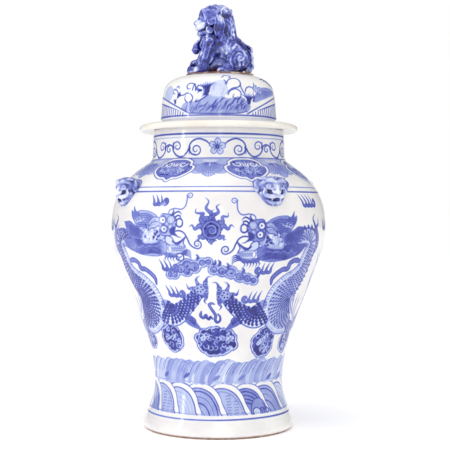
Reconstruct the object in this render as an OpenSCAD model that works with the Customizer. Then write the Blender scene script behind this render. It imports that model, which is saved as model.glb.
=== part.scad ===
// Lidded porcelain temple jar: a wheel-thrown baluster body with four applied
// lion masks, and a domed lid with a seated guardian lion as its finial.
// Millimetres, +Z up, origin at the centre of the foot's resting face.
// The painted front faces -Y.

/* [Jar body] */
// Height of the neck's lip above the resting face
jar_h = 427.2; // [420:0.2:435]
// Widest diameter, at the belly
belly_d = 308.6; // [296:0.2:316]
// Height of the belly's widest point
belly_z = 291; // [284:1:296]
// Narrowest diameter, above the foot
waist_d = 185; // [178:1:192]
// Height of the waist
waist_z = 69; // [62:1:76]
// Widest diameter of the flared foot
foot_d = 217; // [208:1:224]
// Outer diameter of the neck where it leaves the shoulder
neck_d = 191.2; // [186:0.2:196]
// Height at which the neck leaves the shoulder
neck_z = 390; // [388:1:392]
// Thickness of the thrown wall
wall_t = 7; // [6:0.5:8]

/* [Foot] */
// Inner diameter of the foot ring
foot_bore_d = 182; // [174:1:184]
// How far the base plate stands above the resting face
base_lift = 8; // [6:1:10]
// Thickness of the base plate
base_t = 9; // [7:1:11]

/* [Lid] */
// Outer diameter of the lid's brim
brim_d = 228.8; // [222:0.2:234]
// Thickness of the brim where the dome stands on it
brim_t = 13; // [12:0.5:14]
// Outer diameter of the dome at its foot
dome_d = 168; // [166:1:171]
// Height of the dome above the brim, up to the crown
dome_h = 66.5; // [62:0.5:70]
// Thickness of the dome's wall
dome_t = 6; // [5:0.5:7]
// Clearance between the neck and the collar that drops into it
collar_gap = 2.8; // [1.6:0.1:4]
// Depth of that collar below the brim's seat
collar_h = 23; // [16:1:28]
// Clearance between the seat and the neck's lip
seat_gap = 0.3; // [0.2:0.1:0.6]

/* [Lion masks] */
// Height of the masks' centres
mask_z = 338; // [334:1:342]
// Turn of the first mask from the painted front
mask_turn = 29.5; // [0:0.5:60]
// Size of a mask, as a share of its usual size
mask_scale = 1; // [0.9:0.05:1.1]

/* [Guardian lion] */
// Height of the lion above the crown
lion_h = 103; // [96:1:108]
// How far the bed of clay under the lion stands above the crown
pad_rise = 2; // [1:0.5:3]

/* [Hidden] */
MASKS = 4;

$fn = 180;
STEPS = 12;          // straight facets along each curve of an outline
SHAPE_FN = 18;       // roundness of the modelled lion and masks
LUTE = 0.05;         // slip joint between an applied mask and the wall
LION_UNIT_H = 103;   // height at which the lion's own numbers are drawn

foot_r = foot_d / 2;
waist_r = waist_d / 2;
belly_r = belly_d / 2;
neck_r = neck_d / 2;
bore_r = foot_bore_d / 2;
lip_r = neck_r - 1.6;
inner_waist_r = waist_r - wall_t;
inner_lip_r = lip_r - wall_t;
dome_r = dome_d / 2;
brim_r = brim_d / 2;
collar_r = inner_lip_r - collar_gap;
lid_bore_r = dome_r - dome_t;
seat_z = jar_h + seat_gap;
brim_z = seat_z + brim_t;
crown_z = brim_z + dome_h;
mask_reach = belly_r - 12.5;
lion_scale = lion_h / LION_UNIT_H;

CREAM = "ivory";
PAINTED = "lightsteelblue";
COBALT = "royalblue";
BISCUIT = "burlywood";

// ---- Outlines, as [radius, height] along cubic curves -------------------

FOOT_CURVE = [
    [foot_r, 8.5], [foot_r - 0.5, 18], [waist_r, waist_z - 29], [waist_r, waist_z]
];
FLARE_CURVE = [
    [waist_r, waist_z], [waist_r, waist_z + 74],
    [belly_r, belly_z - 58], [belly_r, belly_z]
];
SHOULDER_CURVE = [
    [belly_r, belly_z], [belly_r, belly_z + 45.6],
    [neck_r + 36.7, neck_z - 31], [neck_r + 8.4, neck_z - 12]
];
NECK_FILLET = [
    [neck_r + 8.4, neck_z - 12], [neck_r + 2.6, neck_z - 8.1],
    [neck_r, neck_z - 5.5], [neck_r, neck_z]
];
HEEL_CURVE = [
    [foot_r - 4.5, 0], [foot_r - 1.9, 1.5], [foot_r, 5], [foot_r, 8.5]
];
BORE_CURVE = [
    [bore_r, 20], [bore_r, 36], [inner_waist_r, waist_z - 19],
    [inner_waist_r, waist_z]
];
DOME_SIDE = [
    [dome_r, brim_z], [dome_r - 1.5, crown_z - 52],
    [dome_r - 1.6, crown_z - 37], [dome_r - 4, crown_z - 26]
];
DOME_TURN = [
    [dome_r - 4, crown_z - 26], [dome_r - 5.7, crown_z - 14.5],
    [dome_r - 13, crown_z - 8.4], [dome_r - 24, crown_z - 4.7]
];
DOME_CROWN = [
    [dome_r - 24, crown_z - 4.7], [dome_r - 34, crown_z - 1.4],
    [20, crown_z], [0, crown_z]
];
BRIM_EDGE = [
    [brim_r - 4.4, seat_z - 3.2], [brim_r + 1.2, seat_z - 3.2],
    [brim_r + 2, seat_z + 5.9], [brim_r - 5.4, seat_z + 6.8]
];

// A point on a cubic curve, and the direction in which it runs there
function at(c, t) = pow(1 - t, 3) * c[0] + 3 * t * pow(1 - t, 2) * c[1]
    + 3 * t * t * (1 - t) * c[2] + pow(t, 3) * c[3];
function along(c, t) = 3 * pow(1 - t, 2) * (c[1] - c[0])
    + 6 * t * (1 - t) * (c[2] - c[1]) + 3 * t * t * (c[3] - c[2]);

// Points along a curve from t0 to t1, and the same set a thickness inwards
function curve(c, t0 = 0, t1 = 1, n = STEPS) =
    [for (i = [0:n]) at(c, t0 + (t1 - t0) * i / n)];
function inwards(c, thick, t0 = 0, t1 = 1, n = STEPS) =
    [for (i = [0:n]) let (t = t0 + (t1 - t0) * i / n, d = along(c, t))
        at(c, t) + thick * [-d[1], d[0]] / norm(d)];
function backwards(p) = [for (i = [len(p) - 1:-1:0]) p[i]];

// A ring turned from an outer and an inner line, both running upwards
module turned(outer, inner) {
    rotate_extrude()
        polygon(concat(outer, backwards(inner)));
}

// ---- Jar body, thrown in sections and luted together -------------------

FOOT_SEAM = 0.3;  // where along the foot's curve its ring ends
FLARE_SEAM = 0.5; // where along the flare the belly section begins

module foot_ring() {
    top = at(FOOT_CURVE, FOOT_SEAM);
    color(BISCUIT)
        turned(
            concat(curve(HEEL_CURVE, n = 5), curve(FOOT_CURVE, 0, FOOT_SEAM, 5)),
            [[bore_r, 0], [bore_r, top[1]]]
        );
}

module base_plate() {
    color(CREAM)
        translate([0, 0, base_lift])
            cylinder(r = bore_r, h = base_t);
}

module lower_wall() {
    seam = at(FOOT_CURVE, FOOT_SEAM);
    inner = curve(BORE_CURVE, 0.15, 1, 8);
    color(PAINTED)
        turned(curve(FOOT_CURVE, FOOT_SEAM, 1), concat([[bore_r, seam[1]]], inner));
}

module flare_wall() {
    color(PAINTED)
        turned(curve(FLARE_CURVE, 0, FLARE_SEAM),
            inwards(FLARE_CURVE, wall_t, 0, FLARE_SEAM));
}

module belly_wall() {
    color(PAINTED)
        turned(curve(FLARE_CURVE, FLARE_SEAM, 1),
            inwards(FLARE_CURVE, wall_t, FLARE_SEAM, 1));
}

module shoulder_wall() {
    color(PAINTED)
        turned(
            concat(curve(SHOULDER_CURVE), curve(NECK_FILLET, 0.2, 1, 6)),
            concat(inwards(SHOULDER_CURVE, wall_t), inwards(NECK_FILLET, wall_t, 0.2, 1, 6))
        );
}

module neck_collar() {
    lip = [
        [lip_r, jar_h - 3], [lip_r, jar_h - 1], [lip_r - 1, jar_h],
        [lip_r - 3, jar_h]
    ];
    inner_lip = [
        [inner_lip_r, jar_h - 3], [inner_lip_r, jar_h - 1],
        [inner_lip_r + 1, jar_h], [inner_lip_r + 3, jar_h]
    ];
    color(PAINTED)
        turned(
            concat([[neck_r, neck_z]], curve(lip, n = 5)),
            concat([[neck_r - wall_t, neck_z]], curve(inner_lip, n = 5))
        );
}

// The whole outside of the body as one solid, grown by the slip joint
module wall_outside() {
    line = concat(
        curve(FLARE_CURVE, FLARE_SEAM, 1), curve(SHOULDER_CURVE),
        curve(NECK_FILLET, 0.2, 1, 6)
    );
    low = line[0][1];
    high = line[len(line) - 1][1];
    rotate_extrude()
        polygon(concat([[0, low]], [for (p = line) p + [LUTE, LUTE]], [[0, high]]));
}

// ---- Applied lion masks ------------------------------------------------

// Two balls joined: each is [x, y, z, radius]
module bone(a, b) {
    hull() {
        translate([a[0], a[1], a[2]]) sphere(r = a[3], $fn = SHAPE_FN);
        translate([b[0], b[1], b[2]]) sphere(r = b[3], $fn = SHAPE_FN);
    }
}

// A mask seen from the front: x is to its side, -y is outwards, z is up.
// It has a brow, a muzzle, a jaw and, at each side, an eye, an ear, a cheek.
module mask_form() {
    bone([-9, -2, 7, 13], [9, -2, 7, 13]);
    bone([0, -4, 6, 14], [0, -5, -4, 13]);
    bone([-5, -8, -13, 8], [5, -8, -13, 8]);
    for (side = [-1, 1]) {
        bone([side * 5, -15, 5, 4.5], [side * 12, -11, 8, 4.5]);
        bone([side * 21, -3, 8, 6], [side * 23, -3, 2, 4.5]);
        bone([side * 13, -6, -5, 8], [side * 10, -6, -13, 7]);
    }
}

module lion_mask(place) {
    turn = mask_turn + (place - 1) * 360 / MASKS;
    color(COBALT)
        difference() {
            rotate([0, 0, turn])
                translate([0, -mask_reach, mask_z])
                    scale(mask_scale)
                        mask_form();
            wall_outside();
        }
}

// ---- Lid ---------------------------------------------------------------

module lid_collar() {
    low = seat_z - collar_h;
    color(BISCUIT)
        turned(
            [[collar_r - 1.5, low], [collar_r, low + 1.5], [collar_r, seat_z]],
            [[lid_bore_r + 1.5, low], [lid_bore_r, low + 1.5], [lid_bore_r, seat_z]]
        );
}

module lid_brim() {
    color(CREAM)
        turned(
            concat([[brim_r - 17, seat_z]], curve(BRIM_EDGE, n = 10),
                [[dome_r + 1.5, brim_z]]),
            [[lid_bore_r, seat_z], [lid_bore_r, brim_z]]
        );
}

module lid_dome() {
    color(PAINTED)
        turned(
            concat(curve(DOME_SIDE), curve(DOME_TURN, 0.1, 1, 8),
                curve(DOME_CROWN, 0.1, 1, 8)),
            concat([[lid_bore_r, brim_z]], inwards(DOME_SIDE, dome_t, 0.1),
                inwards(DOME_TURN, dome_t, 0.1, 1, 8),
                inwards(DOME_CROWN, dome_t, 0.1, 1, 8))
        );
}

// The oval bed of clay between the lion and the crown
PAD_LENGTH = 98;
PAD_WIDTH = 64;
PAD_DEPTH = 6; // how far the clay would reach down into the crown

module finial_pad() {
    color(BISCUIT)
        difference() {
            translate([2, 0, crown_z - PAD_DEPTH])
                linear_extrude(PAD_DEPTH + pad_rise)
                    polygon([for (a = [0:8:352])
                        [PAD_LENGTH / 2 * cos(a), PAD_WIDTH / 2 * sin(a)]]);
            rotate_extrude()
                polygon(concat(
                    [[0, crown_z - 30]], curve(DOME_TURN, 0.1, 1, 8),
                    curve(DOME_CROWN, 0.1, 1, 8)
                ));
        }
}

// ---- Guardian lion, modelled in parts and luted together ---------------
// It looks along -X, so its left side is at -Y. Its numbers are millimetres
// from the centre of the crown, for a lion that is LION_UNIT_H high.

LION_PARTS = [
    "torso", "head", "mane", "foreleg_left", "foreleg_right",
    "hindleg_left", "hindleg_right", "tail", "bell", "ball"
];

LION_BONES = [
    // torso: chest, back, rump and the clay left under the belly
    [
        [[-13, 0, 46, 17], [2, 0, 50, 18]], [[2, 0, 50, 18], [28, 0, 24, 18]],
        [[-10, 0, 40, 14], [8, 0, 38, 14]], [[10, 0, 28, 14], [32, 0, 20, 16]],
        [[-8, 0, 15, 13], [14, 0, 15, 13]]
    ],
    // head: skull, muzzle, jaw and brow
    [
        [[-9, -4, 82, 18], [-9, 4, 82, 18]], [[-19, 0, 78, 14], [-23, 0, 73, 12]],
        [[-18, 0, 68, 11], [-23, 0, 64, 9]], [[-20, -9, 89, 8], [-20, 9, 89, 8]],
        [[-4, 0, 91, 11], [-5, 0, 95, 8]]
    ],
    // mane: the crest, the nape and the locks at each side
    [
        [[4, 0, 86, 14], [8, 0, 76, 16]], [[8, 0, 76, 16], [15, 0, 52, 13]],
        [[-2, -15, 80, 9], [2, -16, 64, 9]], [[-2, 15, 80, 9], [2, 16, 64, 9]],
        [[0, -15, 62, 8], [6, -14, 48, 6]], [[0, 15, 62, 8], [6, 14, 48, 6]]
    ],
    // left foreleg: upper leg, lower leg and paw
    [
        [[-13, -13, 44, 10], [-20, -16, 24, 8.5]],
        [[-20, -16, 24, 8.5], [-22, -17, 8, 8]],
        [[-23, -17, 6.5, 7], [-31, -17, 5.5, 6]]
    ],
    // right foreleg: upper leg, lower leg and the paw on the ball
    [
        [[-13, 13, 44, 10], [-22, 16, 28, 8.5]],
        [[-22, 16, 28, 8.5], [-27, 17, 20, 7]],
        [[-27, 17, 20, 7], [-36, 17, 19, 6]]
    ],
    // left hind leg: haunch, knee and foot
    [
        [[30, -15, 22, 16], [24, -17, 18, 14]], [[20, -19, 12, 9], [12, -20, 8, 7]],
        [[14, -21, 6, 6], [3, -21, 5.5, 5.5]]
    ],
    // right hind leg
    [
        [[30, 15, 22, 16], [24, 17, 18, 14]], [[20, 19, 12, 9], [12, 20, 8, 7]],
        [[14, 21, 6, 6], [3, 21, 5.5, 5.5]]
    ],
    // tail: curled up against the rump
    [
        [[44, 0, 10, 7], [46, 0, 22, 6.5]], [[46, 0, 22, 6.5], [43, 0, 36, 6]],
        [[43, 0, 36, 6], [36, 0, 43, 5]]
    ],
    // bell at the chest, hung from the collar
    [[[-32, 0, 42, 5.5], [-33, 0, 36, 6.5]]],
    // ball under the right paw
    [[[-37, 17, 9, 9], [-37, 17, 8, 9]]]
];

module lion_form(part) {
    for (b = LION_BONES[part]) bone(b[0], b[1]);
}

// One part, less the clay under it and every part set in place before it
module lion_part(part) {
    color(COBALT)
        difference() {
            translate([0, 0, crown_z])
                scale(lion_scale)
                    lion_form(part);
            translate([0, 0, crown_z])
                scale(lion_scale)
                    for (earlier = [0:1:part - 1]) lion_form(earlier);
            translate([-60, -40, crown_z - 20]) cube([120, 80, 20 + pad_rise]);
        }
}

// ---- Assembly ----------------------------------------------------------

foot_ring();
base_plate();
lower_wall();
flare_wall();
belly_wall();
shoulder_wall();
neck_collar();
for (place = [1:MASKS])
    lion_mask(place);
lid_collar();
lid_brim();
lid_dome();
finial_pad();
for (part = [0:len(LION_PARTS) - 1])
    lion_part(part);
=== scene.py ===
import math

import bpy
import numpy as np
from mathutils import Matrix, Vector
from mathutils.bvhtree import BVHTree


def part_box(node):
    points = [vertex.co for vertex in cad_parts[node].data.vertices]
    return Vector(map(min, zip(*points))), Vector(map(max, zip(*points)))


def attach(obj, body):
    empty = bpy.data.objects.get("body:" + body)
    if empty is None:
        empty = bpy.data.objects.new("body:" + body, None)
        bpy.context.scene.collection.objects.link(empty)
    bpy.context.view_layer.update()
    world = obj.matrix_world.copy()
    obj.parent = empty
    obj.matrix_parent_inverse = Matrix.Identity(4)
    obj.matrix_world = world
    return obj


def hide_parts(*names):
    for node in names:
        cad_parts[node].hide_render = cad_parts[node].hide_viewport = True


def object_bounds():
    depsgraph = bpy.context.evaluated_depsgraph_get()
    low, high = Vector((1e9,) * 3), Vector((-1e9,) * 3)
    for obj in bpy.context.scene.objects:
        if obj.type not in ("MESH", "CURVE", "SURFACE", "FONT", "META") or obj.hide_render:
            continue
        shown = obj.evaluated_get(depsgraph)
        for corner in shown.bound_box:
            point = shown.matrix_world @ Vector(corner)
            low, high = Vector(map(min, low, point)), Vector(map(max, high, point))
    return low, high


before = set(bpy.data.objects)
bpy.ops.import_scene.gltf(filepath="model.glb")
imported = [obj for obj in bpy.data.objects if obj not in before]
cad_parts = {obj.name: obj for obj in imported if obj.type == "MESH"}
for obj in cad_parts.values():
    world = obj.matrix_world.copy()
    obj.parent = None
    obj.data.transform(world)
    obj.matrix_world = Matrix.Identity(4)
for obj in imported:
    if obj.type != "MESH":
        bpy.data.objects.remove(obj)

# A tall lidded porcelain jar. The wall is a set of fine turned meshes, and its
# blue painting is done by brush strokes on them: every vertex holds how much
# cobalt lies there, with painted shade round the masks and a painted reflection
# over one dragon. Lengths in this script are millimetres unless they say m.

MM = 0.001
CAD_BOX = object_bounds()
rng = np.random.default_rng(24)


# ---- Sizes taken from the frame ------------------------------------------

def top(node):
    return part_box(node)[1][2] / MM


def foot(node):
    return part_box(node)[0][2] / MM


def half_width(node):
    return (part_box(node)[1][0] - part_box(node)[0][0]) / 2 / MM


def radii(node, height, reach=0.2):
    """Smallest and largest radius of a turned CAD node at a height."""
    found = [
        math.hypot(v.co.x, v.co.y) / MM
        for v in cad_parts[node].data.vertices
        if abs(v.co.z / MM - height) < reach
    ]
    return min(found), max(found)


FOOT_SEAM = top("foot_ring")
WAIST_Z = top("lower_wall")
BELLY_Z = top("belly_wall")
NECK_Z = top("shoulder_wall")
LIP_Z = top("neck_collar")
SEAT_Z = top("lid_collar")
BRIM_Z = top("lid_brim")
CROWN_Z = top("lid_dome")
TOP_Z = CAD_BOX[1][2] / MM

MASK_BOXES = {"lion_mask_%d" % k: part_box("lion_mask_%d" % k) for k in range(1, 5)}

FOOT_R = half_width("foot_ring")
BORE_R = half_width("base_plate")
BELLY_R = half_width("belly_wall")
WAIST_INNER_R, WAIST_R = radii("flare_wall", WAIST_Z)
NECK_INNER_R, NECK_R = radii("neck_collar", NECK_Z)
LIP_IN = 1.6
LIP_ROUND = 3
BRIM_R = half_width("lid_brim")
DOME_R = half_width("lid_dome")
LID_BORE_R, COLLAR_R = radii("lid_collar", SEAT_Z)
WALL = WAIST_R - WAIST_INNER_R
DOME_WALL = DOME_R - LID_BORE_R


# ---- Outlines, as rows of (radius, height) -------------------------------

def cubic(p0, p1, p2, p3, t0=0.0, t1=1.0, count=160):
    t = np.linspace(t0, t1, count)[:, None]
    p0, p1, p2, p3 = (np.array(p, float) for p in (p0, p1, p2, p3))
    return (1 - t) ** 3 * p0 + 3 * t * (1 - t) ** 2 * p1 + 3 * t * t * (1 - t) * p2 + t ** 3 * p3


def lengths(points):
    """Distance along a line of points, from its first point."""
    return np.concatenate([[0.0], np.cumsum(np.hypot(*np.diff(points, axis=0).T))])


def even(points, step):
    """The same line with its points evenly spaced."""
    along = lengths(points)
    count = max(2, int(round(along[-1] / step)) + 1)
    s = np.linspace(0.0, along[-1], count)
    return np.column_stack([np.interp(s, along, points[:, k]) for k in (0, 1)])


def inset(points, depth):
    """The line moved to its left-hand side, which is inwards on a line that rises."""
    d = np.gradient(points, axis=0)
    n = np.column_stack([-d[:, 1], d[:, 0]]) / np.hypot(*d.T)[:, None]
    return points + depth * n


def join(*lines):
    out = [np.asarray(lines[0], float)]
    for line in lines[1:]:
        line = np.asarray(line, float)
        gap = np.hypot(*(line[0] - out[-1][-1]))
        out.append(line[1:] if gap < 1e-6 else line)
    return np.concatenate(out)


HEEL_Z = 8.5
HEEL_CURVE = ((FOOT_R - 4.5, 0), (FOOT_R - 1.9, 1.5), (FOOT_R, 5), (FOOT_R, HEEL_Z))
FOOT_CURVE = ((FOOT_R, HEEL_Z), (FOOT_R - 0.5, 18), (WAIST_R, WAIST_Z - 29), (WAIST_R, WAIST_Z))
FLARE_CURVE = (
    (WAIST_R, WAIST_Z), (WAIST_R, WAIST_Z + 74), (BELLY_R, BELLY_Z - 58), (BELLY_R, BELLY_Z)
)
FILLET_START = (NECK_R + 8.4, NECK_Z - 12)
SHOULDER_CURVE = (
    (BELLY_R, BELLY_Z), (BELLY_R, BELLY_Z + 45.6), (NECK_R + 36.7, NECK_Z - 31), FILLET_START
)
FILLET_CURVE = (
    FILLET_START, (NECK_R + 2.6, NECK_Z - 8.1), (NECK_R, NECK_Z - 5.5), (NECK_R, NECK_Z)
)
# where along their curves the thrown sections are joined
FOOT_SEAM_T = 0.3
FLARE_SEAM_T = 0.5


def lip(radius, way):
    """The rounded lip, from its straight side to the top of the neck."""
    return cubic((radius, LIP_Z - LIP_ROUND), (radius, LIP_Z - 1), (radius - way, LIP_Z),
                 (radius - LIP_ROUND * way, LIP_Z))


outside = {
    "foot_ring": join(cubic(*HEEL_CURVE), cubic(*FOOT_CURVE, 0, FOOT_SEAM_T)),
    "lower_wall": cubic(*FOOT_CURVE, FOOT_SEAM_T, 1),
    "flare_wall": cubic(*FLARE_CURVE, 0, FLARE_SEAM_T),
    "belly_wall": cubic(*FLARE_CURVE, FLARE_SEAM_T, 1),
    "shoulder_wall": join(cubic(*SHOULDER_CURVE), cubic(*FILLET_CURVE)),
    "neck_collar": join([(NECK_R, NECK_Z)], lip(NECK_R - LIP_IN, 1)),
}
inside = {
    "foot_ring": np.array([(BORE_R, 0), (BORE_R, FOOT_SEAM)]),
    "lower_wall": join(
        [(BORE_R, FOOT_SEAM)],
        cubic((BORE_R, 20), (BORE_R, 36), (WAIST_INNER_R, WAIST_Z - 19),
              (WAIST_INNER_R, WAIST_Z), 0.15, 1),
    ),
    "flare_wall": inset(outside["flare_wall"], WALL),
    "belly_wall": inset(outside["belly_wall"], WALL),
    "shoulder_wall": inset(outside["shoulder_wall"], WALL),
    "neck_collar": join([(NECK_INNER_R, NECK_Z)], lip(NECK_INNER_R - LIP_IN, -1)),
}
DOME_OUTSIDE = join(
    cubic((DOME_R, BRIM_Z), (DOME_R - 1.5, CROWN_Z - 52), (DOME_R - 1.6, CROWN_Z - 37),
          (DOME_R - 4, CROWN_Z - 26)),
    cubic((DOME_R - 4, CROWN_Z - 26), (DOME_R - 5.7, CROWN_Z - 14.5),
          (DOME_R - 13, CROWN_Z - 8.4), (DOME_R - 24, CROWN_Z - 4.7)),
    cubic((DOME_R - 24, CROWN_Z - 4.7), (DOME_R - 34, CROWN_Z - 1.4), (20, CROWN_Z), (0, CROWN_Z)),
)


# ---- Painting on turned surfaces -----------------------------------------

EDGE = 0.8  # width of a stroke's soft edge


class Canvas:
    """Cobalt on a turned surface: a row per point of its outline, a column per
    step round it. 0 is bare glaze and 1 the darkest line."""

    def __init__(self, outline, columns):
        self.r, self.z = outline.T
        self.s = lengths(outline)
        self.columns = columns
        self.turn = 2 * math.pi / columns
        self.step = self.s[-1] / (len(self.s) - 1)
        self.tone = np.zeros((len(self.s), columns), np.float32)

    def radius(self, s):
        return np.interp(s, self.s, self.r)

    def depth(self, height):
        """Distance along the outline of a height."""
        return np.interp(height, self.z, self.s)

    def brushed(self, theta, s, half):
        """How far a brush of half width half covers each cell near its path."""
        rows = np.arange(len(self.s))
        j = np.rint(np.interp(s, self.s, rows)).astype(int)
        c = np.rint(theta / self.turn).astype(int)
        reach = float(np.max(half)) + EDGE
        m = int(reach / self.step) + 2
        n = int(reach / (self.turn * max(4.0, float(self.radius(s).min())))) + 2
        j0, j1 = max(0, j.min() - m), min(len(self.s), j.max() + m + 1)
        c0, c1 = c.min() - n, c.max() + n + 1
        dj, dc = np.meshgrid(np.arange(-m, m + 1), np.arange(-n, n + 1))
        J = j[:, None] + dj.ravel()[None]
        C = c[:, None] + dc.ravel()[None]
        near = np.clip(J, 0, len(self.s) - 1)
        up = self.s[near] - s[:, None]
        across = (C * self.turn - theta[:, None]) * self.r[near]
        value = np.clip((half[:, None] - np.hypot(up, across)) / EDGE + 0.5, 0, 1)
        value[(J < j0) | (J >= j1)] = 0
        cover = np.zeros((j1 - j0, c1 - c0), np.float32)
        flat = (np.clip(J, j0, j1 - 1) - j0) * (c1 - c0) + (C - c0)
        np.maximum.at(cover.reshape(-1), flat.ravel(), value.ravel().astype(np.float32))
        return j0, c0, cover

    def enclosed(self, theta, s):
        """Which cells lie inside a closed outline, with soft edges."""
        rows = np.interp(s, self.s, np.arange(len(self.s)))
        j0, j1 = max(0, int(rows.min()) - 2), min(len(self.s), int(rows.max()) + 4)
        c0 = int(math.floor(theta.min() / self.turn)) - 2
        c1 = int(math.ceil(theta.max() / self.turn)) + 3
        level = self.s[j0:j1]
        angle = np.arange(c0, c1) * self.turn
        odd = np.zeros((j1 - j0, c1 - c0), bool)
        for ta, sa, tb, sb in zip(theta, s, np.roll(theta, -1), np.roll(s, -1)):
            hit = np.nonzero((sa > level) != (sb > level))[0]
            if len(hit):
                edge = ta + (tb - ta) * (level[hit] - sa) / (sb - sa)
                odd[hit] ^= angle[None] < edge[:, None]
        return j0, c0, soften(odd.astype(np.float32))

    def lay(self, patch, tone, mode):
        j0, c0, cover = patch
        cells = np.ix_(
            np.arange(j0, j0 + cover.shape[0]),
            np.arange(c0, c0 + cover.shape[1]) % self.columns,
        )
        old = self.tone[cells]
        if mode == "ink":
            new = np.maximum(old, cover * tone)
        elif mode == "tint":
            new = 1 - (1 - old) * (1 - cover * tone)
        else:
            new = old * (1 - cover) + tone * cover
        self.tone[cells] = new

    def ring(self, height, width, tone, waver=0.5, fade=0.25):
        """A line right round, drawn as the wheel turns under the brush."""
        a = np.arange(self.columns) * self.turn
        level = self.depth(height) + waver * (np.sin(a + height) + 0.5 * np.sin(3 * a + 1.7 * height))
        press = 1 - fade * (0.5 + 0.5 * np.sin(2 * a + 0.6 * height))
        away = np.abs(self.s[:, None] - level[None])
        cover = np.clip((width / 2 * (0.7 + 0.3 * press[None]) - away) / EDGE + 0.5, 0, 1)
        self.tone = np.maximum(self.tone, (cover * tone * press[None]).astype(np.float32))


def soften(a):
    """Each cell averaged with its neighbours."""
    p = np.pad(a, 1, mode="edge")
    a = (p[:-2, 1:-1] + 2 * p[1:-1, 1:-1] + p[2:, 1:-1]) / 4
    p = np.pad(a, 1, mode="edge")
    return (p[1:-1, :-2] + 2 * p[1:-1, 1:-1] + p[1:-1, 2:]) / 4


def curve(points, closed=False, per_span=10):
    """A smooth line through points. A point given twice makes a corner."""
    p = np.asarray(points, float)
    if len(p) < 3:
        return p
    if closed:
        q = np.concatenate([p[-1:], p, p[:2]])
    else:
        q = np.concatenate([2 * p[:1] - p[1:2], p, 2 * p[-1:] - p[-2:-1]])
    t = np.linspace(0, 1, per_span, endpoint=False)[:, None]
    out = []
    for a, b, c, d in zip(q[:-3], q[1:-2], q[2:-1], q[3:]):
        out.append(0.5 * (2 * b + (c - a) * t + (2 * a - 5 * b + 4 * c - d) * t ** 2
                          + (3 * b - a - 3 * c + d) * t ** 3))
    if not closed:
        out.append(q[-2:-1])
    return np.concatenate(out)


class Pen:
    """Paints from its own origin, in mm along the surface: x is to the right
    and y is up. flip mirrors it about its meridian."""

    def __init__(self, canvas, angle, height, size=1.0, tilt=0.0, flip=False, strength=1.0):
        self.canvas = canvas
        self.theta = math.radians(angle)
        self.s = float(canvas.depth(height))
        self.size = size
        self.tilt = math.radians(tilt)
        self.flip = -1 if flip else 1
        self.strength = strength

    def spots(self, points):
        x, y = (np.asarray(points, float) * self.size).T
        x, y = (x * math.cos(self.tilt) - y * math.sin(self.tilt),
                x * math.sin(self.tilt) + y * math.cos(self.tilt))
        s = self.s + y
        return self.theta + self.flip * x / self.canvas.radius(s), s

    def trace(self, points, closed=False, smooth=True):
        p = curve(points, closed) if smooth else np.asarray(points, float)
        theta, s = self.spots(p)
        if closed:
            theta, s = np.append(theta, theta[0]), np.append(s, s[0])
        r = self.canvas.radius(s)
        hop = np.hypot(np.diff(theta) * (r[1:] + r[:-1]) / 2, np.diff(s))
        along = np.concatenate([[0], np.cumsum(hop)])
        fine = np.linspace(0, along[-1], max(3, int(along[-1] / 0.45)))
        return np.interp(fine, along, theta), np.interp(fine, along, s)

    def line(self, points, width=1.1, tone=0.85, start=0.4, end=0.25, closed=False, smooth=True,
             mode="ink", taper=0.3):
        """A brush line. start and end are the shares of its width that its ends
        keep, and taper is the share of its length over which the far end thins."""
        theta, s = self.trace(points, closed, smooth)
        t = np.linspace(0, 1, len(s))
        if closed:
            start = end = 1.0
        press = np.minimum(1, np.minimum(start + t / 0.22, end + (1 - t) / taper))
        patch = self.canvas.brushed(theta, s, width / 2 * press)
        self.canvas.lay(patch, tone * self.strength, mode)

    def wash(self, points, tone=0.3, rim=0.0, rim_width=0.9, smooth=True, mode="wash"):
        """A filled shape, with a line round it where rim is above 0."""
        theta, s = self.trace(points, True, smooth)
        self.canvas.lay(self.canvas.enclosed(theta, s), tone * self.strength, mode)
        if rim:
            self.line(points, rim_width, rim, closed=True, smooth=smooth)

    def dot(self, x, y, radius, tone=0.9, mode="ink"):
        theta, s = self.spots([(x, y)])
        patch = self.canvas.brushed(theta, s, np.array([radius]))
        self.canvas.lay(patch, tone * self.strength, mode)

    def at(self, x, y, size=1.0, tilt=0.0):
        """A pen with its origin moved to a point of this one."""
        theta, s = self.spots([(x, y)])
        other = Pen(self.canvas, 0, 0, self.size * size, 0, False, self.strength)
        other.theta, other.s, other.flip = float(theta[0]), float(s[0]), self.flip
        other.tilt = self.tilt + math.radians(tilt)
        return other


class Chart(Pen):
    """A pen whose points are (degrees from its meridian, height)."""

    def spots(self, points):
        degrees, height = np.asarray(points, float).T
        return self.theta + self.flip * np.radians(degrees), self.canvas.depth(height)


class Raw(Pen):
    """A pen whose points are (angle, distance along the outline) already."""

    def spots(self, points):
        return np.asarray(points, float).T


def circle(x, y, radius, count=12):
    a = np.linspace(0, 2 * math.pi, count, endpoint=False)
    return np.column_stack([x + radius * np.cos(a), y + radius * np.sin(a)])


def spiral(x, y, radius, turns, start, way=1, core=0.12):
    """A line that winds in to (x, y) from an angle start."""
    t = np.linspace(0, 1, max(6, int(10 * turns)))
    a = math.radians(start) + way * 2 * math.pi * turns * t
    r = radius * (1 - (1 - core) * t)
    return np.column_stack([x + r * np.cos(a), y + r * np.sin(a)])


def tongue(pen, spine, width, tone=0.5, rim=0.85):
    """A flame or a lock of hair: a shape along a spine that narrows to a tip."""
    p = curve(spine)
    d = np.gradient(p, axis=0)
    n = np.column_stack([-d[:, 1], d[:, 0]]) / np.maximum(1e-6, np.hypot(*d.T))[:, None]
    t = np.linspace(0, 1, len(p))
    half = (width / 2 * np.minimum(1, 0.75 + 1.6 * t) * (1 - t) ** 0.6)[:, None]
    pen.wash(np.concatenate([p + n * half, (p - n * half)[::-1]]), tone, smooth=False)
    if rim:
        for edge in (p + n * half, p - n * half):
            pen.line(edge, 0.9, rim, start=0.8, smooth=False)


# ---- Motifs --------------------------------------------------------------

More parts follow.
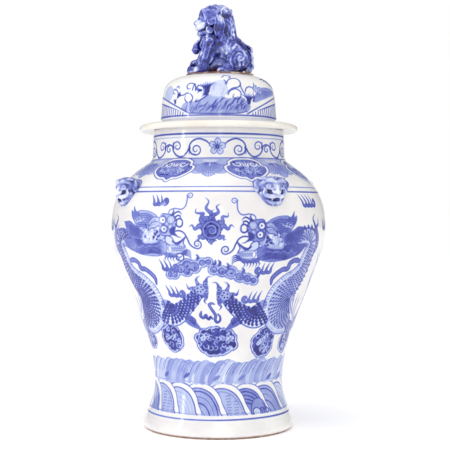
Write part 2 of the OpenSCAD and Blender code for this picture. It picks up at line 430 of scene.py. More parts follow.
def ribbon(pen, path, width, tone=0.55, rim=0.9, start=0.5, end=0.05):
    """A tapered brush stroke with a dark edge and a paler middle."""
    pen.line(path, width + 1.3, rim, start=start, end=end, taper=0.75)
    pen.line(path, width - 0.5, tone, start=start, end=0.0, mode="wash", taper=0.75)


def polar(radius, angle):
    return radius * math.cos(angle), radius * math.sin(angle)


def flaming_pearl(pen):
    ball = 11
    for x, y, sway in (
        (-22, 28, 1), (-7, 44, -1), (10, 35, 1), (23, 22, -1), (30, 5, 1), (19, -13, -1),
        (-1, -20, 1), (-20, -13, 1), (-30, 5, -1), (-13, 24, -1), (2, 27, 1), (17, 13, 1),
    ):
        out = np.array([x, y], float)
        reach = np.hypot(x, y)
        across = sway * np.array([-y, x]) / reach
        root = ball / reach
        path = [out * (root + (1 - root) * t) + across * w * min(1, reach / 30)
                for t, w in ((0, -1), (0.28, 3.4), (0.55, -2.6), (0.8, 2.2), (1, -1.5))]
        ribbon(pen, path, 4.2, 0.5, 0.95, start=1.0)
    for k in range(9):
        a = 2 * math.pi * k / 9
        path = [polar(ball, a), polar(14, a + 0.1), polar(16.5, a + 0.3)]
        ribbon(pen, path, 2.0, 0.6, 0.9, start=1.0)
    pen.wash(circle(0, 0, 12.6), 0.6, 0.9, 1.3)
    pen.line(circle(0, 0, 10.9), 1.0, 0.25, closed=True, mode="wash")
    pen.wash(circle(0, 0, 9.9), 0.66)
    pen.line(spiral(0.5, -0.5, 7.0, 1.8, 150, -1), 1.5, 0.25, mode="wash")
    pen.line(spiral(0.5, -0.5, 8.8, 1.8, 150, -1), 1.6, 1.0)
    for k in range(5):
        pen.dot(*polar(8.4, 0.4 + 1.256 * k), 2.0, 1.0)


def dragon_head(pen, face=0.3, mane=0.5, chin_ball=False):
    """A head that looks along +x. Its origin is between its eyes."""
    # hair: a swept-back crest, a tuft behind it and a long lock under the jaw
    crest = [(-8, 9), (-22, 17), (-40, 19), (-48, 17), (-54, 24), (-54, 24), (-54, 16), (-58, 19),
             (-58, 12), (-51, 3), (-40, -8), (-28, -10), (-14, 0)]
    tuft = [(-40, -6), (-52, -1), (-62, 4), (-75, 3), (-75, 3), (-69, -9), (-60, -19), (-44, -20),
            (-34, -14)]
    lock = [(3, -25), (-10, -21), (-36, -23), (-58, -20), (-80, -20), (-70, -32), (-58, -37),
            (-36, -42), (-14, -43), (1, -38)]
    pen.wash(lock, mane, 0.9)
    pen.wash(tuft, mane, 0.9)
    pen.wash(crest, mane * 0.9, 0.85)
    # the wash is deepest at the tips
    for tips in (
        tuft, [(-38, -22), (-58, -20), (-80, -20), (-70, -32), (-58, -37), (-38, -41)],
        [(-43, 4), (-43, 17), *crest[3:10]],
    ):
        pen.wash(tips, 0.34, mode="tint")
    for k in range(12):
        y = -24 - 1.5 * k
        pen.line([(0, y), (-22, y + 1.5), (-45, y + 3 - 0.3 * k), (-66 + 1.5 * k, -25 - 0.9 * k)],
                 1.3, 0.97, start=0.2, end=0.1)
    for k in range(8):
        pen.line([(-12, 8 - 1.8 * k), (-26, 14 - 2.4 * k), (-42, 14 - 2.4 * k), (-53, 13 - 3 * k)],
                 1.2, 0.97, start=0.2, end=0.1)
        pen.line([(-38, -8 - 1.2 * k), (-52, -4 - 1.6 * k), (-68, 0 - 1.6 * k)], 1.1, 0.97)
    for k in range(3):
        pen.line([(-32 - 6 * k, 8 - 2 * k), (-39 - 5 * k, 5 - k), (-41 - 4 * k, 9 - 2 * k),
                  (-46 - 4 * k, 10 - 2 * k)], 1.2, 0.12, mode="wash")
    for k in range(4):
        pen.line([(-8 - 14 * k, -28), (-20 - 13 * k, -30 - k), (-30 - 11 * k, -28)], 1.0, 0.35,
                 mode="wash")
    # cheek, paler and spotted like a fish's skin
    pen.wash([(-4, 8), (-16, 9), (-25, 4), (-28, -5), (-36, -14), (-36, -25), (-22, -26),
              (-8, -23), (3, -14)], face, 0.9)
    for k in range(60):
        x, y = rng.uniform(-34, -6), rng.uniform(-23, 4)
        if -26 - 0.25 * x < y < 14 + 0.85 * x + 12:
            pen.dot(x, y, rng.uniform(0.6, 1.3), 0.92)
    for k in range(22):
        x, y = rng.uniform(-32, -10), rng.uniform(-21, 0)
        if y < 12 + 0.7 * x + 8:
            pen.line(circle(x, y, 1.9, 7), 0.9, 0.05, closed=True, mode="wash")
    for x, y, r in ((-10, -10, 2.2), (-13, -13, 2.2), (-9, -16, 1.8), (-16, -17, 2.0), (-11, -20, 1.6)):
        pen.dot(x, y, r, 1.0)
    # ear-like crescents behind the upper eye
    for lift in (0, -6):
        pen.wash([(-7, 8 + lift), (-15, 10 + lift), (-22, 5 + lift), (-25, -2 + lift),
                  (-19, 1 + lift), (-12, 2 + lift)], face, 0.95, 1.1)
        pen.line([(-10, 6 + lift), (-17, 6 + lift), (-22, 1 + lift)], 1.0, 0.6)
    # brow, nose and snout
    pen.wash([(-5, 12), (5, 14), (15, 12), (20, 4), (18, -4), (15, -12), (5, -15), (-5, -11)],
             face * 1.4, 0.95, 1.2)
    for x, y, r in ((11.5, 6.5, 5.6), (11, -3, 3.8)):
        pen.wash(circle(x, y, r), face * 0.8, 0.92, 1.1)
        pen.line(circle(x, y, 0.55 * r), 0.9, 0.5, closed=True)
    pen.wash([(12, -4), (18, -3), (17, -10), (20, -15), (14, -14), (9, -10)], 0.85)
    for x, y in ((-1, 6), (1, -6)):
        pen.wash(circle(x, y, 5.9), 0.95)
        pen.wash(circle(x, y, 4.3), 0.0)
        pen.dot(x + 0.4, y, 1.3, 1.0)
    for path in (
        [(14, 12), (18, 16), (23, 17), (27, 13)], [(17, 9), (21, 12), (25, 11), (25, 7)],
        [(18, 5), (24, 8), (28, 5), (27, 0)], [(18, 1), (23, -3), (28, -1), (29, 4)],
        [(15, -6), (16, -11), (21, -16), (26, -17)], [(12, 12), (15, 18), (13, 21)],
    ):
        pen.line(path, 1.9, 0.95, start=1.0, taper=0.6)
    # jaws and teeth
    pen.wash([(4, -15), (12, -17), (16, -24), (24, -22), (32, -16), (32, -16), (28, -24), (30, -30),
              (20, -28), (9, -28), (2, -23)], 0.15, 0.95, 1.3)
    ribbon(pen, [(13, -22), (19, -26), (26, -22), (33, -14)], 1.4, 0.75, 0.97, start=0.8)
    pen.wash([(8, -28), (29, -30), (29, -37), (8, -38)], 0.02, 0.8)
    for k in range(8):
        x = 9.5 + 2.5 * k
        pen.line([(x, -29), (x + 0.3, -32), (x + 1.9, -32), (x + 2.2, -29)], 0.9, 0.8)
        pen.line([(x, -37), (x + 0.4, -34), (x + 1.8, -34), (x + 2.2, -37)], 0.9, 0.75)
    pen.wash([(2, -38), (12, -40.5), (22, -39), (30, -34), (31, -37.5), (23, -42.5), (8, -44),
              (-2, -41)], 0.6, 0.95)
    if chin_ball:
        pen.wash(circle(21, -44, 5.2), 0.0, 0.97, 1.6)
    for k in range(4):
        pen.line([(29 - 1.5 * k, -35 - 1.5 * k), (34, -34 - 3 * k), (38 - 0.5 * k, -38 - 3.4 * k)],
                 1.5, 0.9, start=1, taper=0.8)
    for k in range(6):
        pen.line([(1 + 4.4 * k, -43), (-2 + 4.2 * k, -46), (0 + 4.2 * k, -50 - 2 * (k % 2))], 1.5, 0.85,
                 start=1, taper=0.8)
    # whiskers that end in scrolls
    pen.line([(7, 12), (9, 19), (16, 21.5), (26, 20.5), (31, 25), (32, 33), (31, 40)],
             1.6, 0.7, end=0.8)
    pen.line(spiral(35, 39, 4.6, 1.5, 170, -1), 1.3, 0.7, start=1)
    pen.line([(14, -10), (23, -8), (30, -11), (34, -18), (37, -26), (42, -31)], 1.8, 0.9, end=0.8)
    pen.line(spiral(47, -26, 6.6, 1.7, 225, 1), 1.6, 0.9, start=1)


def scaly(chart, spine, widths, scale=5.0, base=0.1, belly=0.0, ink=3.1, arcs=0.0):
    """A scaled limb or body along a spine. ink is the width of each scale's dark
    heart, arcs the tone of its edge, and belly the width of a plain ticked band
    along its right-hand side, seen along the spine. Returns a pen for its edges,
    and the two edges."""
    theta, s = chart.trace(spine)
    share = np.linspace(0, 1, len(s))
    knots = np.linspace(0, 1, len(widths))
    half = np.interp(share, knots, widths) / 2
    r = chart.canvas.radius(s)
    dx, dy = np.gradient(theta) * r, np.gradient(s)
    hop = np.maximum(1e-6, np.hypot(dx, dy))
    tx, ty = dx / hop, dy / hop
    side = chart.flip
    nx, ny = -ty * side, tx * side
    plain = belly * np.minimum(1, half / 12)

    def spot(i, across, along=0.0):
        """Points near step i of the spine, in mm across it and along it."""
        x = along * tx[i] + across * nx[i]
        y = along * ty[i] + across * ny[i]
        return np.column_stack([theta[i] + x / r[i], s[i] + y])

    raw = Raw(chart.canvas, 0, 0, strength=chart.strength)
    index = np.arange(0, len(s), 4)
    left = spot(index, half[index])
    right = spot(index, -half[index])
    raw.wash(np.concatenate([left, right[::-1]]), base, smooth=False)
    run = np.cumsum(hop)
    arc = np.linspace(-1.7, 1.7, 7)
    for row, mark in enumerate(np.arange(scale * 0.4, run[-1], scale * 0.8)):
        i = int(np.searchsorted(run, mark))
        if i >= len(s) - 1:
            break
        first = plain[i] - half[i] + (0.8 if row % 2 else 0.3) * scale
        for across in np.arange(first, half[i] - 0.2 * scale, scale):
            if arcs:
                raw.line(spot(i, across + 0.52 * scale * np.sin(arc), 0.5 * scale * np.cos(arc)),
                         0.9, arcs, start=1, end=1)
            heart = 0.5 * ink * np.array([[0.55, -0.55], [-0.3, 0.3]])
            raw.line(spot(i, across + heart[0], heart[1]),
                     0.86 * ink * rng.uniform(0.85, 1.1), rng.uniform(0.85, 1.0),
                     start=1, end=1, smooth=False)
    if belly:
        inner = spot(index, plain[index] - half[index])[::-1]
        raw.wash(np.concatenate([right, inner]), 0.12, smooth=False)
        raw.line(inner, 0.9, 0.6, start=1, end=1)
        for mark in np.arange(1, run[-1], 2.6):
            i = min(len(s) - 1, int(np.searchsorted(run, mark)))
            raw.line(spot(i, np.array([0, 0.75 * plain[i]]) - half[i]), 0.9, 0.7, smooth=False)
    raw.line(left, 1.4, 0.85, start=1, end=1, smooth=False)
    raw.line(right, 1.2, 0.8, start=1, end=1, smooth=False)
    return raw, left, right


def fin(raw, edge, first, last, count, height, tone=0.7):
    """A row of flame-like points along one edge of a scaled body."""
    span = edge[int(first * len(edge)):int(last * len(edge))]
    step = max(1, len(span) // count)
    r = raw.canvas.radius(span[:, 1])
    for i in range(0, len(span) - step, step):
        a, b = span[i], span[i + step]
        along = np.array([(b[0] - a[0]) * r[i], b[1] - a[1]])
        out = np.array([-along[1], along[0]])
        out = out / max(1e-6, np.hypot(*out)) * height
        tip = np.array([a[0] + (out[0] + 0.2 * along[0]) / r[i], a[1] + out[1] + 0.2 * along[1]])
        raw.wash(np.array([a, tip, b]), tone, 0.85, 0.8, smooth=False)


def claw(pen):
    """A foot of four toes that stretch out from (0, 0)."""
    for path in (
        [(-3, 1), (-10, 2), (-15, 1), (-17, 5), (-18, 9)],
        [(0, 2), (-2, 8), (-4, 14), (-2, 18), (2, 20)],
        [(4, 2), (9, 9), (10, 15), (13, 19), (18, 19)],
        [(5, -4), (8, -11), (5, -17), (8, -22)],
    ):
        ribbon(pen, path, 3.8, 0.4, 0.95, start=1.0)
        for x, y in path[1:3]:
            pen.dot(x, y, 1.1, 0.95)
    pen.wash([(6, 12), (10.5, 12), (11, -5), (7, -12), (3, -8), (5, 3)], 0.7, 0.95)
    pen.wash([(-6, 4), (2, 8), (7, 2), (4, -8), (-5, -5)], 0.4, 0.9)
    for x, y in ((-3, 2), (1, -3), (2, 4), (-3, -3), (4, 0), (9, 8), (9, -2)):
        pen.dot(x, y, 1.4, 0.98)
        pen.line(circle(x, y, 2.2, 8), 0.9, 0.15, closed=True, mode="wash")


def dragon(canvas, meridian, flip, head_height, strength=1.0):
    """One dragon in its quarter of the wall; it faces the pearl's meridian."""
    chart = Chart(canvas, meridian, 0, flip=flip, strength=strength)
    net = dict(base=0.14, ink=4.1) if flip else dict(base=0.2, ink=2.9, arcs=0.5)
    # tail and hind quarters, which only a view from the side shows
    scaly(chart, [(62, 149), (71, 150), (79, 158), (83, 176), (82, 198), (78, 216), (79, 236)],
          [16, 20, 22, 20, 15, 9, 3], base=0.42)
    for k in range(5):
        hair = [(79, 232), (77 + 1.6 * k, 244), (74 + 3.0 * k, 256 + 3 * (k % 2))]
        tongue(chart, hair, 0.9, 0.6, 0.8)
    # raised fore claw behind the head
    scaly(chart, [(62, 255), (67.5, 260), (67.5, 272), (64.5, 286)], [16, 14, 11, 7], base=0.4)
    for path in (
        [(64.5, 286), (62.5, 294), (61, 301), (63.5, 307)], [(64.5, 288), (67, 294), (66.5, 301)],
        [(65, 280), (61, 287), (59.5, 293)],
    ):
        ribbon(chart, path, 3.0, 0.6, 0.95, start=1.0)
    # body: spiky back, scales, and a pale belly with ticks
    raw, left, right = scaly(
        chart,
        [(47, 268), (55, 275), (61, 270), (61, 258), (59.5, 245), (58.5, 232), (54.5, 218), (49, 205),
         (46, 190), (47, 174), (53, 159), (63, 150)],
        [22, 24, 26, 28, 28, 32, 42, 52, 54, 50, 38, 22], belly=8.5, **net)
    fin(raw, left, 0.1, 0.98, 24, 5.5, 0.75)
    # flames that trail along the flank
    for path in (
        [(64, 168), (60, 178), (57.5, 190), (58, 200)], [(67, 164), (62, 178), (60.5, 194)],
        [(69, 160), (65.5, 176), (64.5, 196)], [(71, 158), (69, 175), (68.5, 194)],
    ):
        chart.line(path, 5.0, 0.0, start=1, end=0.1, mode="wash")
        chart.line(path, 1.6, 0.85, start=1, end=0.2)
    # ribbon flame from the neck
    streamer = [(53, 243), (49, 244), (45.8, 240), (45, 233), (41.5, 232), (38, 227), (35.4, 220),
                (35.5, 212)]
    chart.line(streamer, 7.6, 0.92, start=0.7, end=0.4)
    chart.line(streamer, 5.2, 0.6, start=0.7, end=0.3, mode="wash")
    # foreleg, elbow tuft and claw
    low = 0 if flip else 8
    chart.wash([(24, 172), (18, 175), (14, 166), (10, 155), (8.5, 150), (8.5, 150), (12, 152),
                (18, 158)], 0.6, 0.9)
    for k in range(6):
        chart.line([(22 - 1.2 * k, 171), (17 - k, 163), (11.5 + 0.6 * k, 154)], 1.2, 0.95)
    limb = [(35, 176 - 0.2 * low), (30, 170 - 0.3 * low), (24, 172 - 0.5 * low),
            (17.5, 182 - 0.8 * low), (12.5, 192 - low), (8.5, 202 - low)]
    scaly(chart, limb, [36, 34, 26, 21, 18, 15], base=0.1, ink=4.4)
    chart.wash([(34, 191), (30, 189), (28.5, 182), (32, 178), (36, 182)], 0.4, mode="tint")
    way = chart.flip
    claw(Pen(canvas, meridian + 7.5 * way, 206 - low, flip=not flip, strength=strength))
    head = Pen(canvas, meridian + 25 * way, head_height, flip=not flip, strength=strength)
    # the flipped head has a paler face and mane, a painted reflection over its paint
    dragon_head(head, *((0.2, 0.36, True) if flip else (0.3, 0.52)))


def wisp(pen, tongues=3, tone=0.55):
    """A puff of flame: commas that lean back from a round curl at its front."""
    for k in range(tongues - 1):
        x = -8.0 * (tongues - 1 - k)
        ribbon(pen, [(x + 6, -1), (x + 2, -4), (x - 2, -3), (x - 3, 2), (x - 5.5, 7), (x - 9, 13)],
               3.6, tone, 0.9, start=0.8)
    ribbon(pen, [(1, 3), (4, 4), (6, 0), (2.5, -4), (-2, -3), (-4, 2), (-5.5, 7), (-8, 13)],
           4.0, tone, 0.9, start=0.7)


def squiggle(pen):
    ribbon(pen, [(2, 13), (-2, 14.6), (-5.3, 11.7), (-1.5, 4.2), (3.2, -4.2), (2.6, -11), (5, -15.5),
                 (9.2, -13), (9.8, -7), (6.8, -2.5)], 2.6, 0.45, 0.9, start=0.5, end=0.5)
    ribbon(pen, [(-17, 2), (-18, -5.5), (-14, -8.5), (-10.6, -4.2), (-9.2, -8), (-6, -10.6),
                 (-4.2, -6.4), (-1, -10)], 2.6, 0.55, 0.95, start=0.4, end=0.5)


def lobed(pen, lobes, tone, curls=True):
    """Round lobes fused into one cloud, with a thin line standing off round it."""
    for grown, dark in ((2.9, 0.85), (1.7, 0.0), (0, 0.9)):
        for x, y, r in lobes:
            pen.wash(circle(x, y, r + grown), dark)
    for x, y, r in lobes:
        pen.wash(circle(x, y, r - 1.0), tone * rng.uniform(0.7, 1.3))
    for k, (x, y, r) in enumerate(lobes if curls else ()):
        way = 1 if k % 2 else -1
        pen.line(spiral(x, y, 0.8 * r, 1.1, 200 + 70 * k, way), 1.0, 0.9)
        pen.dot(x + 0.1 * r, y - 0.2 * r, 0.2 * r, 0.95)


def round_cloud(pen, wide, tall):
    """A dark cluster of lobes, full of small white curls."""
    around = max(7, int((wide + tall) / 6))
    lobes = []
    for k in range(around):
        a = 2 * math.pi * (k + rng.uniform(-0.2, 0.2)) / around
        r, far = rng.uniform(4.2, 7), rng.uniform(0.82, 1.07)
        lobes.append((far * (wide / 2 - r) * math.cos(a), far * (tall / 2 - r) * math.sin(a), r))
    for k in range(int(wide * tall / 100)):
        lobes.append((rng.uniform(-0.27, 0.27) * wide, rng.uniform(-0.24, 0.24) * tall, 6.5))
    lobed(pen, lobes, 0.8, curls=False)

    def anywhere(reach):
        a, share = rng.uniform(0, 6.28), math.sqrt(rng.uniform(0, 1)) * reach
        return share * wide / 2 * math.cos(a), share * tall / 2 * math.sin(a)

    for k in range(int(wide * tall / 34)):
        pen.dot(*anywhere(0.9), rng.uniform(1.4, 2.6), 0.95)
    for k in range(int(wide * tall / 62)):
        x, y = anywhere(0.86)
        way = rng.choice([-1, 1])
        pen.line(spiral(x, y, rng.uniform(3, 5), 0.8, rng.uniform(0, 360), way, 0.35),
                 1.2, 0.14, start=0.8, end=0.6, mode="wash")


def flower(pen):
    """Five petals round a dark eye."""
    for k in range(5):
        u = np.array(polar(1, math.radians(85 + 72 * k)))
        v = np.array([-u[1], u[0]])
        petal = [2 * u, 5.5 * u + 3.4 * v, 9.6 * u + 2.4 * v, 9.6 * u - 2.4 * v, 5.5 * u - 3.4 * v]
        pen.wash(petal, 0.2, 0.72, 1.0)
        pen.line([2 * u, 6.5 * u], 1.5, 0.8, start=1)
    pen.dot(0, 0, 2.8, 0.95)
    pen.dot(0, 0, 0.7, 0.2, mode="wash")


def neck_vine(canvas, height):
    """A vine that scrolls to both sides of four flowers."""
    quarter = math.radians(90) * NECK_R
    for k in range(4):
        flower(Pen(canvas, 90 * k - 1, height, 1.12))
        for flip in (False, True):
            pen = Pen(canvas, 90 * k - 1, height - 2, flip=flip)
            pen.line([(10, 5), (16, 10), (26, 13), (36, 9), (40, 1), (37, -7), (30, -9.5)],
                     2.1, 0.8, start=0.5, end=0.9)
            pen.line(spiral(30, -2, 7.8, 1.4, 270, -1), 1.7, 0.75, start=1)
            pen.line([(39, 3), (44, -6), (52, -11.5), (61, -9), (67, -2), (67, 4)], 2.1, 0.8, end=0.8)
            pen.line(spiral(59.5, 3, 7.6, 1.4, 0, 1), 1.7, 0.75, start=1)
            pen.line([(66, -2), (69, 4), (quarter / 2, 6)], 2.0, 0.8, end=0.9)
            for x, y, dx, dy in ((39, 1, 1, -10), (38, 2, 5, -7), (65, 0, 2, 9), (67, 0, -1, 10)):
                tongue(pen, [(x, y), (x + 0.7 * dx, y + 0.5 * dy), (x + dx, y + dy)], 2.6, 0.8, 0)
        # where two quarters meet, a small scroll closes the vine
        seam = Pen(canvas, 90 * k + 44, height)
        seam.line(spiral(0, -3, 5, 1.2, 90, 1), 1.8, 0.75, start=1)


def dark_lappet(pen):
    """A cusped panel of pale leaves on a dark ground, inside a white border."""
    half = [(0, -24), (-6, -19.5), (-13, -19), (-21, -14), (-27, -7), (-27, 1), (-21, 5),
            (-20, 11), (-14, 16), (-6, 18)]
    shape = np.array(half + [(-x, y) for x, y in half[:0:-1]], float)

    centre = np.array([0.0, -3.0])
    away = shape - centre
    pen.wash(centre + away * (1 + 4.8 / np.hypot(*away.T)[:, None]), 0.0, 0.85, 1.1)
    pen.wash(shape, 0.54, 0.9, 1.2)
    # leaves and flowers left pale in the dark ground
    for k in range(60):
        x, y = rng.uniform(-23, 23), rng.uniform(-17, 8)
        if abs(x) < 24 - 0.9 * max(0, -y - 6):
            pen.dot(x, y, rng.uniform(0.8, 1.7), 0.97)
    for k in range(24):
        x, y = rng.uniform(-21, 21), rng.uniform(-15, 6)
        if abs(x) < 22 - 0.9 * max(0, -y - 6):
            pen.line(circle(x, y, 2.2, 7), 1.0, 0.2, closed=True, mode="wash")
    for side in (-1, 1):
        pen.line(spiral(side * 11, 8, 6.5, 1.3, 90 - side * 60, -side), 2.0, 0.03, mode="wash")
        pen.dot(side * 15, 12, 2.2, 1.0)
        pen.line([(side * 20, -5), (side * 12, -9), (side * 6, -15)], 1.2, 0.15, mode="wash")
    for x in (-5, 0, 5):
        tongue(pen, [(0.4 * x, 2), (0.8 * x, 9), (1.5 * x, 15)], 4.0, 0.0, 0.8)


def pale_lappet(pen):
    """A pale panel with a fan of lines crossed by arcs."""
    half = [(-29, 19), (-27, 4), (-26, -9), (-19, -15), (-10, -14), (-5, -19), (0, -21)]
    pen.wash(half + [(-x, y) for x, y in half[-2::-1]], 0.27, 0.66, 1.0)
    for k in range(-9, 10):
        a = math.radians(270 + 9 * k)
        out = 31 - 0.7 * abs(k)
        pen.line([(0.7 * k, 10), (0.6 * out * math.cos(a), 8 + 0.7 * out * math.sin(a)),
                  (out * math.cos(a), 10 + out * math.sin(a))], 1.1, 0.7, start=1, end=0.8)
    for r in (8, 12, 16, 20, 24):
        arc = [(r * math.cos(a), 10 + r * math.sin(a)) for a in np.linspace(-2.9, -0.25, 24)]
        pen.line(arc, 1.0, 0.6, start=1, end=1, smooth=False)
    for k in range(-4, 5):
        pen.line([(2.2 * k, 17), (2.4 * k, 12.5 - 2.5 * math.cos(0.5 * k))], 1.2, 0.02, mode="wash",
                 smooth=False)
    pen.line([(0, 9), (0, 1)], 1.2, 0.05, mode="wash", smooth=False)


def feather_band(canvas, low, high):
    """Slanting strokes that overlap, each hooked over at its top."""
    tall = high - low
    for k in range(120):
        pen = Pen(canvas, 3 * k + rng.uniform(-1, 1), low, rng.uniform(0.84, 1.08))
        stroke = [(-7, -1), (-5, 0.3 * tall), (1, 0.68 * tall), (8, 0.94 * tall), (15, 0.86 * tall)]
        pen.line(stroke, rng.uniform(5.5, 8), rng.uniform(0.12, 0.4), start=0.9, taper=0.4, mode="wash")
        edge = [(x - 2.4, y + 1.4) for x, y in stroke[1:4]] + [(15, 0.93 * tall)]
        pen.line(edge, 1.2, rng.uniform(0.4, 0.76), taper=0.5)
        if k % 4 == 0:
            pen.line([(x + 1.5, y) for x, y in stroke[:4]], 1.3, 0.5, taper=0.6)
    for k in range(16):
        pen = Pen(canvas, 22.5 * k + rng.uniform(-9, 9), low + rng.uniform(0, 6))
        pen.wash([(-5, -2), (2, 0), (6, 6), (-1, 4)], rng.uniform(0.45, 0.75))


CREST = [(-66, -6), (-62, 20), (-52, 38), (-38, 45.5), (-20, 43), (-8, 33), (-2, 19), (1, -6)]
HOLLOW = [(-62, -6), (-58, 18), (-48, 35), (-33, 38.5), (-18, 32), (-9, 19), (-5, 6), (-4, -6)]


def wave(pen, kind):
    """One hill of water with a white crest. Its right foot is at (0, 0), and its
    kind says whether it is ribbed, rippled, clouded or finely ribbed."""
    base = np.array([-36.0, -6.0])

    def inner(share):
        return base + (np.array(HOLLOW) - base) * share

    tones = {"ribbed": 0.3, "rippled": 0.26, "clouded": 0.42, "fine": 0.2}
    pen.wash(CREST, 0.0, 0.75, 1.1)
    pen.wash(HOLLOW, tones[kind], 0.85, 1.4)
    if kind == "ribbed":
        for k, share in enumerate((0.9, 0.82, 0.73, 0.64, 0.54, 0.44, 0.33, 0.2)):
            pen.line(inner(share), (2.0, 1.0, 1.4, 1.0)[k % 4], (0.8, 0.5, 0.62, 0.5)[k % 4],
                     start=0.8, end=0.5)
    elif kind == "fine":
        for share in (0.86, 0.7, 0.56, 0.42, 0.28):
            pen.line(inner(share), 1.1, 0.42, start=0.8, end=0.5)
    elif kind == "rippled":
        pen.line(inner(0.9), 1.2, 0.6)
        for y in range(0, 32, 4):
            for x in (-26, -16, -7):
                if x < -4 - 0.5 * y:
                    pen.line([(x - 4, y - 0.6), (x, y + 0.8), (x + 4, y)], 1.1, 0.66)
    else:
        for share in (0.9, 0.78, 0.66, 0.54):
            pen.line(inner(share), 1.9, 0.85, start=0.8, end=0.6)
        pen.wash([(-30, 2), (-26, 18), (-16, 24), (-6, 18), (-4, 8), (-12, 10), (-20, 4)],
                 0.4, 0.85, 1.3)
        for k in range(4):
            x, y = 3 * k - 10, 18 - 3 * k
            pen.line([(x, y), (x + 4, y - 6), (x + 2, y - 14)], 1.3, 0.85)
        pen.wash(circle(-21, 4, 6.2), 0.0, 0.9, 1.5)
        pen.wash(circle(-21, 4, 3.4), 0.15, 0.4, 0.8)


WAVE_KINDS = (
    "ribbed", "rippled", "clouded", "ribbed", "fine", "ribbed", "ribbed", "rippled", "fine",
    "ribbed", "rippled", "clouded", "ribbed", "fine", "ribbed", "ribbed", "rippled", "fine",
)


def wave_band(canvas, low):
    """Waves right round, each over the one to its right; the last ones go over the first."""
    count = len(WAVE_KINDS)
    for k in range(count, -count // 3, -1):
        pen = Pen(canvas, 4 + 360 * k / count, low, rng.uniform(0.95, 1.05))
        wave(pen, WAVE_KINDS[k % count])


def grass(pen, blades, size):
    """A tuft that spreads as it rises."""
    for k in range(blades):
        lean = (k - (blades - 1) / 2) * 14 / blades * size
        tip = (1.6 * lean, 13 * size - 0.5 * abs(lean))
        pen.line([(0.15 * lean, 0), (0.5 * lean, 6 * size), tip], 2.3, 0.95, start=1, end=0.1, taper=0.9)


def lid_landscape(canvas, angle):
    """Grassy ground with a boulder, plants to its sides and far hills."""
    pen = Pen(canvas, angle, BRIM_Z + 1)
    # ground: a wash under slanting strokes
    ground = [(-54, 6), (-52, 18), (-37, 20), (-26, 23), (-16, 29), (-4, 28), (4, 27), (14, 24),
              (30, 27), (38, 23), (46, 14), (41, 7), (20, 3.5), (0, 3), (-26, 4)]
    pen.wash(ground, 0.3, 0.4, 1.1)
    for k in range(60):
        x = -51 + 1.55 * k
        tall = 10 + 4 * math.sin(0.7 * k) + rng.uniform(-2, 3)
        y = rng.uniform(4.5, 9)
        pen.line([(x, y), (x + 3, y + 0.5 * tall), (x + 7.5, y + tall)], 1.1, rng.uniform(0.5, 0.8))
    pen.line([(-53, 5.5), (-26, 4), (0, 3.4), (26, 4.2), (41, 7)], 1.5, 0.75, start=1, end=1)
    for k in range(16):
        x, y = rng.uniform(-10, 36), rng.uniform(8, 18)
        pen.line([(x, y), (x + 2, y + 5), (x + 7, y + 9)], 1.7, rng.uniform(0.75, 0.95), taper=0.6)
    # a smooth boulder
    pen.wash([(-10, 30), (-10, 42), (-4, 49), (4, 51), (11, 43), (12, 33), (4, 27), (-6, 27)],
             0.14, 0.3, 1.0)
    pen.line([(-7, 34), (-6, 43), (0, 47)], 3.0, 0.24)
    pen.line([(8, 40), (6, 33), (2, 29)], 2.4, 0.22)
    # plants to its left
    grass(pen.at(-15, 33, tilt=8), 8, 1.35)
    grass(pen.at(-15, 30, tilt=70), 4, 0.7)
    for path in (
        [(-15, 29), (-26, 22), (-33, 20.5), (-30, 24)],
        [(-33, 35), (-33, 44), (-40, 47), (-46, 44), (-45, 39), (-40, 39)],
        [(-20, 35), (-22, 41), (-28, 43), (-31, 38), (-26, 35)], [(-38, 36), (-36, 41), (-33, 47)],
        [(-57, 30), (-51, 31), (-46, 33), (-40, 31), (-37, 26), (-40, 21), (-46, 20), (-50, 25), (-48, 30)],
        [(-62, 33), (-65, 38), (-71, 40), (-73, 35), (-68, 33)], [(-66, 42), (-62, 44), (-60, 40)],
    ):
        pen.line(path, 1.5, 0.85, start=0.6, end=0.4)
    for x, y, tilt in ((-58, 30, 40), (-68, 20, 10), (-63, 28, -30), (-24, 36, 90)):
        grass(pen.at(x, y, tilt=tilt), 3, 0.55)
    # plants to its right
    for path in (
        [(11, 44), (13, 51), (20, 55), (27, 53), (31, 46), (28, 41), (20, 39), (14, 35), (12, 31)],
        [(13, 29), (16, 35), (24, 38), (31, 34), (31, 27), (25, 24), (20, 27), (22, 31)],
        [(4, 56), (8, 62), (14, 61), (16, 57), (12, 55)], [(30, 45), (34, 36), (38, 31)],
        [(38, 34), (40, 40), (46, 42), (52, 39), (52, 34)], [(51, 40), (53, 45), (52, 49)],
        [(7, 52), (10, 48), (9, 44)], [(-28, 13), (-20, 15), (-14, 20)],
    ):
        pen.line(path, 1.5, 0.82, start=0.6, end=0.4)
    grass(pen.at(44, 18, tilt=-4), 8, 1.25)
    grass(pen.at(52, 22, tilt=-35), 4, 0.9)
    pen.wash([(53, 21), (58, 34), (64, 41), (84, 43), (100, 41), (104, 36), (84, 30), (68, 25)],
             0.4, 0.6)
    for k in range(7):
        pen.line([(56 + 5 * k, 26 + k), (60 + 6 * k, 33 + k), (70 + 5 * k, 39)], 1.2, 0.7)
    for tilt in (-70, -35, 0):
        leaf = pen.at(58, 33, tilt=tilt)
        leaf.wash([(0, 0), (-3, 5), (0, 12), (3, 5)], 0.25, 0.85)
    # hills that fade out on both sides
    pen.wash([(-98, 30), (-94, 41), (-82, 46), (-73, 39), (-78, 27), (-88, 25)], 0.2, 0.32)
    for k in range(4):
        hill = [(68 + 7 * k, 57 - 2 * k), (75 + 7 * k, 60 - 4 * k), (84 + 6 * k, 56 - 4 * k)]
        pen.line(hill, 2.4, 0.85)


